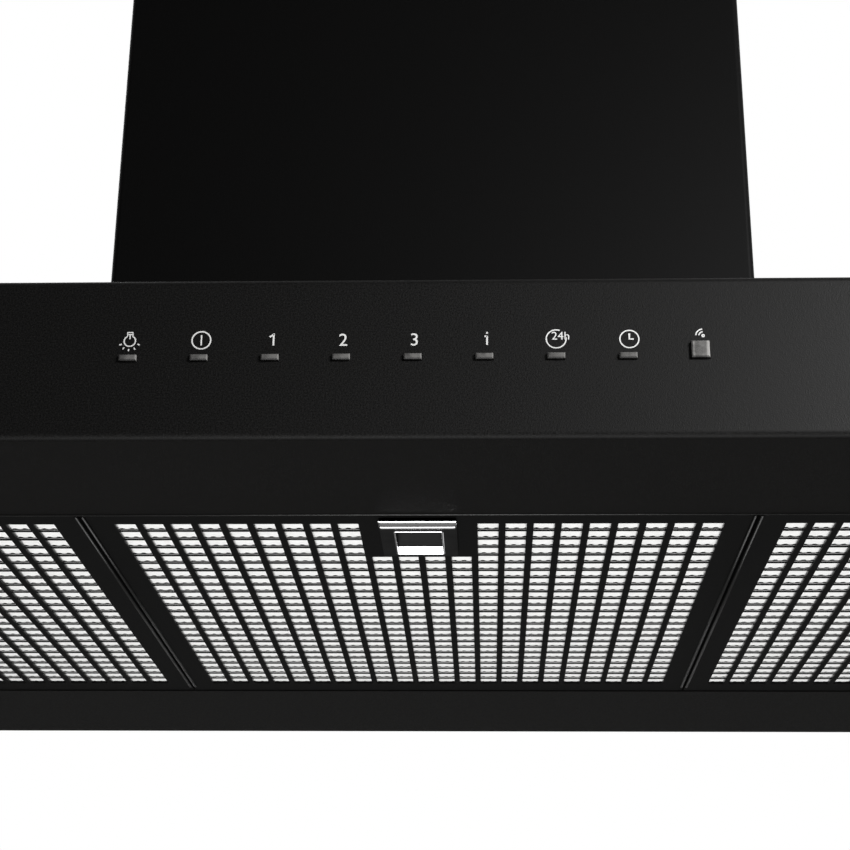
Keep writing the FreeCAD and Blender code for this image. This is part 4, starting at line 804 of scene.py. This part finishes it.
floor_builder = bmesh.new()
bmesh.ops.create_grid(floor_builder, x_segments=1, y_segments=1, size=STAGE_HALF)
floor_mesh = bpy.data.meshes.new("floor")
floor_builder.to_mesh(floor_mesh)
floor_builder.free()
floor_mesh.materials.append(surface(
    "floor", (0.74, 0.74, 0.73), (0.78, 0.78, 0.77), (0.7, 0.8), specular=0.2, patch=2, grain=60
))
floor = bpy.data.objects.new("floor", floor_mesh)
floor.location = (0, 0, FLOOR_Z)
bpy.context.scene.collection.objects.link(floor)


def soft_light(name, place, target, side, watts):
    """A square lamp that faces a target and isn't seen itself."""
    data = bpy.data.lights.new(name, "AREA")
    data.shape = "SQUARE"
    data.size = side
    data.energy = watts
    lamp = bpy.data.objects.new(name, data)
    turned = (Vector(target) - Vector(place)).to_track_quat("-Z", "Y").to_matrix().to_4x4()
    lamp.matrix_world = Matrix.Translation(place) @ turned
    lamp.visible_camera = False
    bpy.context.scene.collection.objects.link(lamp)


PANEL_CENTRE = (0, FACE_Y, UNDERSIDE_Z + 0.03)
STRIP_REAR = (0, -0.35, UNDERSIDE_Z)
soft_light("key", (0.62, FACE_Y - 0.62, UNDERSIDE_Z + 0.26), PANEL_CENTRE, side=0.3, watts=10)
soft_light(
    "under", (0.05, FACE_Y - 0.05, UNDERSIDE_Z - 1.1), STRIP_REAR, side=0.9, watts=14
)
soft_light("back", (-1.2, 1.5, 0.9), (0, -0.2, 0), side=1.2, watts=24)

# The room: the camera sees plain white, mirrored rays see it darker in front, and the rest is dim.
AMBIENT_STRENGTH = 0.15
ROOM_FRONT = (0.04, 0.04, 0.04)
ROOM_RANGE = (0.3, 0.8)  # from the front of the room, as a share of its depth

world = bpy.data.worlds.new("studio")
bpy.context.scene.world = world
world.use_nodes = True
sky = world.node_tree
sky.nodes.clear()


def background(strength=1.0):
    return add(sky, "ShaderNodeBackground", Color=(*WHITE, 1), Strength=strength)


def mixed(factor, without, along):
    """The first shader where factor is 0, and the second where it is 1."""
    mixer = add(sky, "ShaderNodeMixShader")
    for socket, source in zip(mixer.inputs, (factor, without, along)):
        sky.links.new(source, socket)
    return mixer.outputs["Shader"]


backward = spread(sky, component(sky, "Generated", "Y"), 0, 1, -1, 1)
mirrored = background()
feed(sky, mirrored, Color=ramp(sky, backward, ROOM_FRONT, WHITE, *ROOM_RANGE))
rays = add(sky, "ShaderNodeLightPath").outputs
mirror_rays = combine(
    sky, "ShaderNodeMath", "MAXIMUM", rays["Is Glossy Ray"], rays["Is Transmission Ray"]
)
unseen = mixed(
    mirror_rays, background(AMBIENT_STRENGTH).outputs["Background"], mirrored.outputs["Background"]
)
everything = mixed(rays["Is Camera Ray"], unseen, background().outputs["Background"])
feed(sky, add(sky, "ShaderNodeOutputWorld"), Surface=everything)

CAMERA_PLACE = (0.027765, -1.086757, -0.610314)
CAMERA_PITCH = 21.25
CAMERA_YAW = 2.116
CAMERA_ROLL = -0.548
CAMERA_LENS = 76.42
CAMERA_SENSOR = 36
CAMERA_CLIP_START = 0.01

camera_data = bpy.data.cameras.new("camera")
camera_data.lens = CAMERA_LENS
camera_data.sensor_width = CAMERA_SENSOR
camera_data.clip_start = CAMERA_CLIP_START
camera = bpy.data.objects.new("camera", camera_data)
bpy.context.scene.collection.objects.link(camera)
camera.matrix_world = (
    Matrix.Translation(CAMERA_PLACE)
    @ Matrix.Rotation(math.radians(CAMERA_YAW), 4, "Z")
    @ Matrix.Rotation(math.radians(90 + CAMERA_PITCH), 4, "X")
    @ Matrix.Rotation(math.radians(-CAMERA_ROLL), 4, "Z")
)
bpy.context.scene.camera = camera
bpy.context.scene.view_settings.view_transform = "Standard"
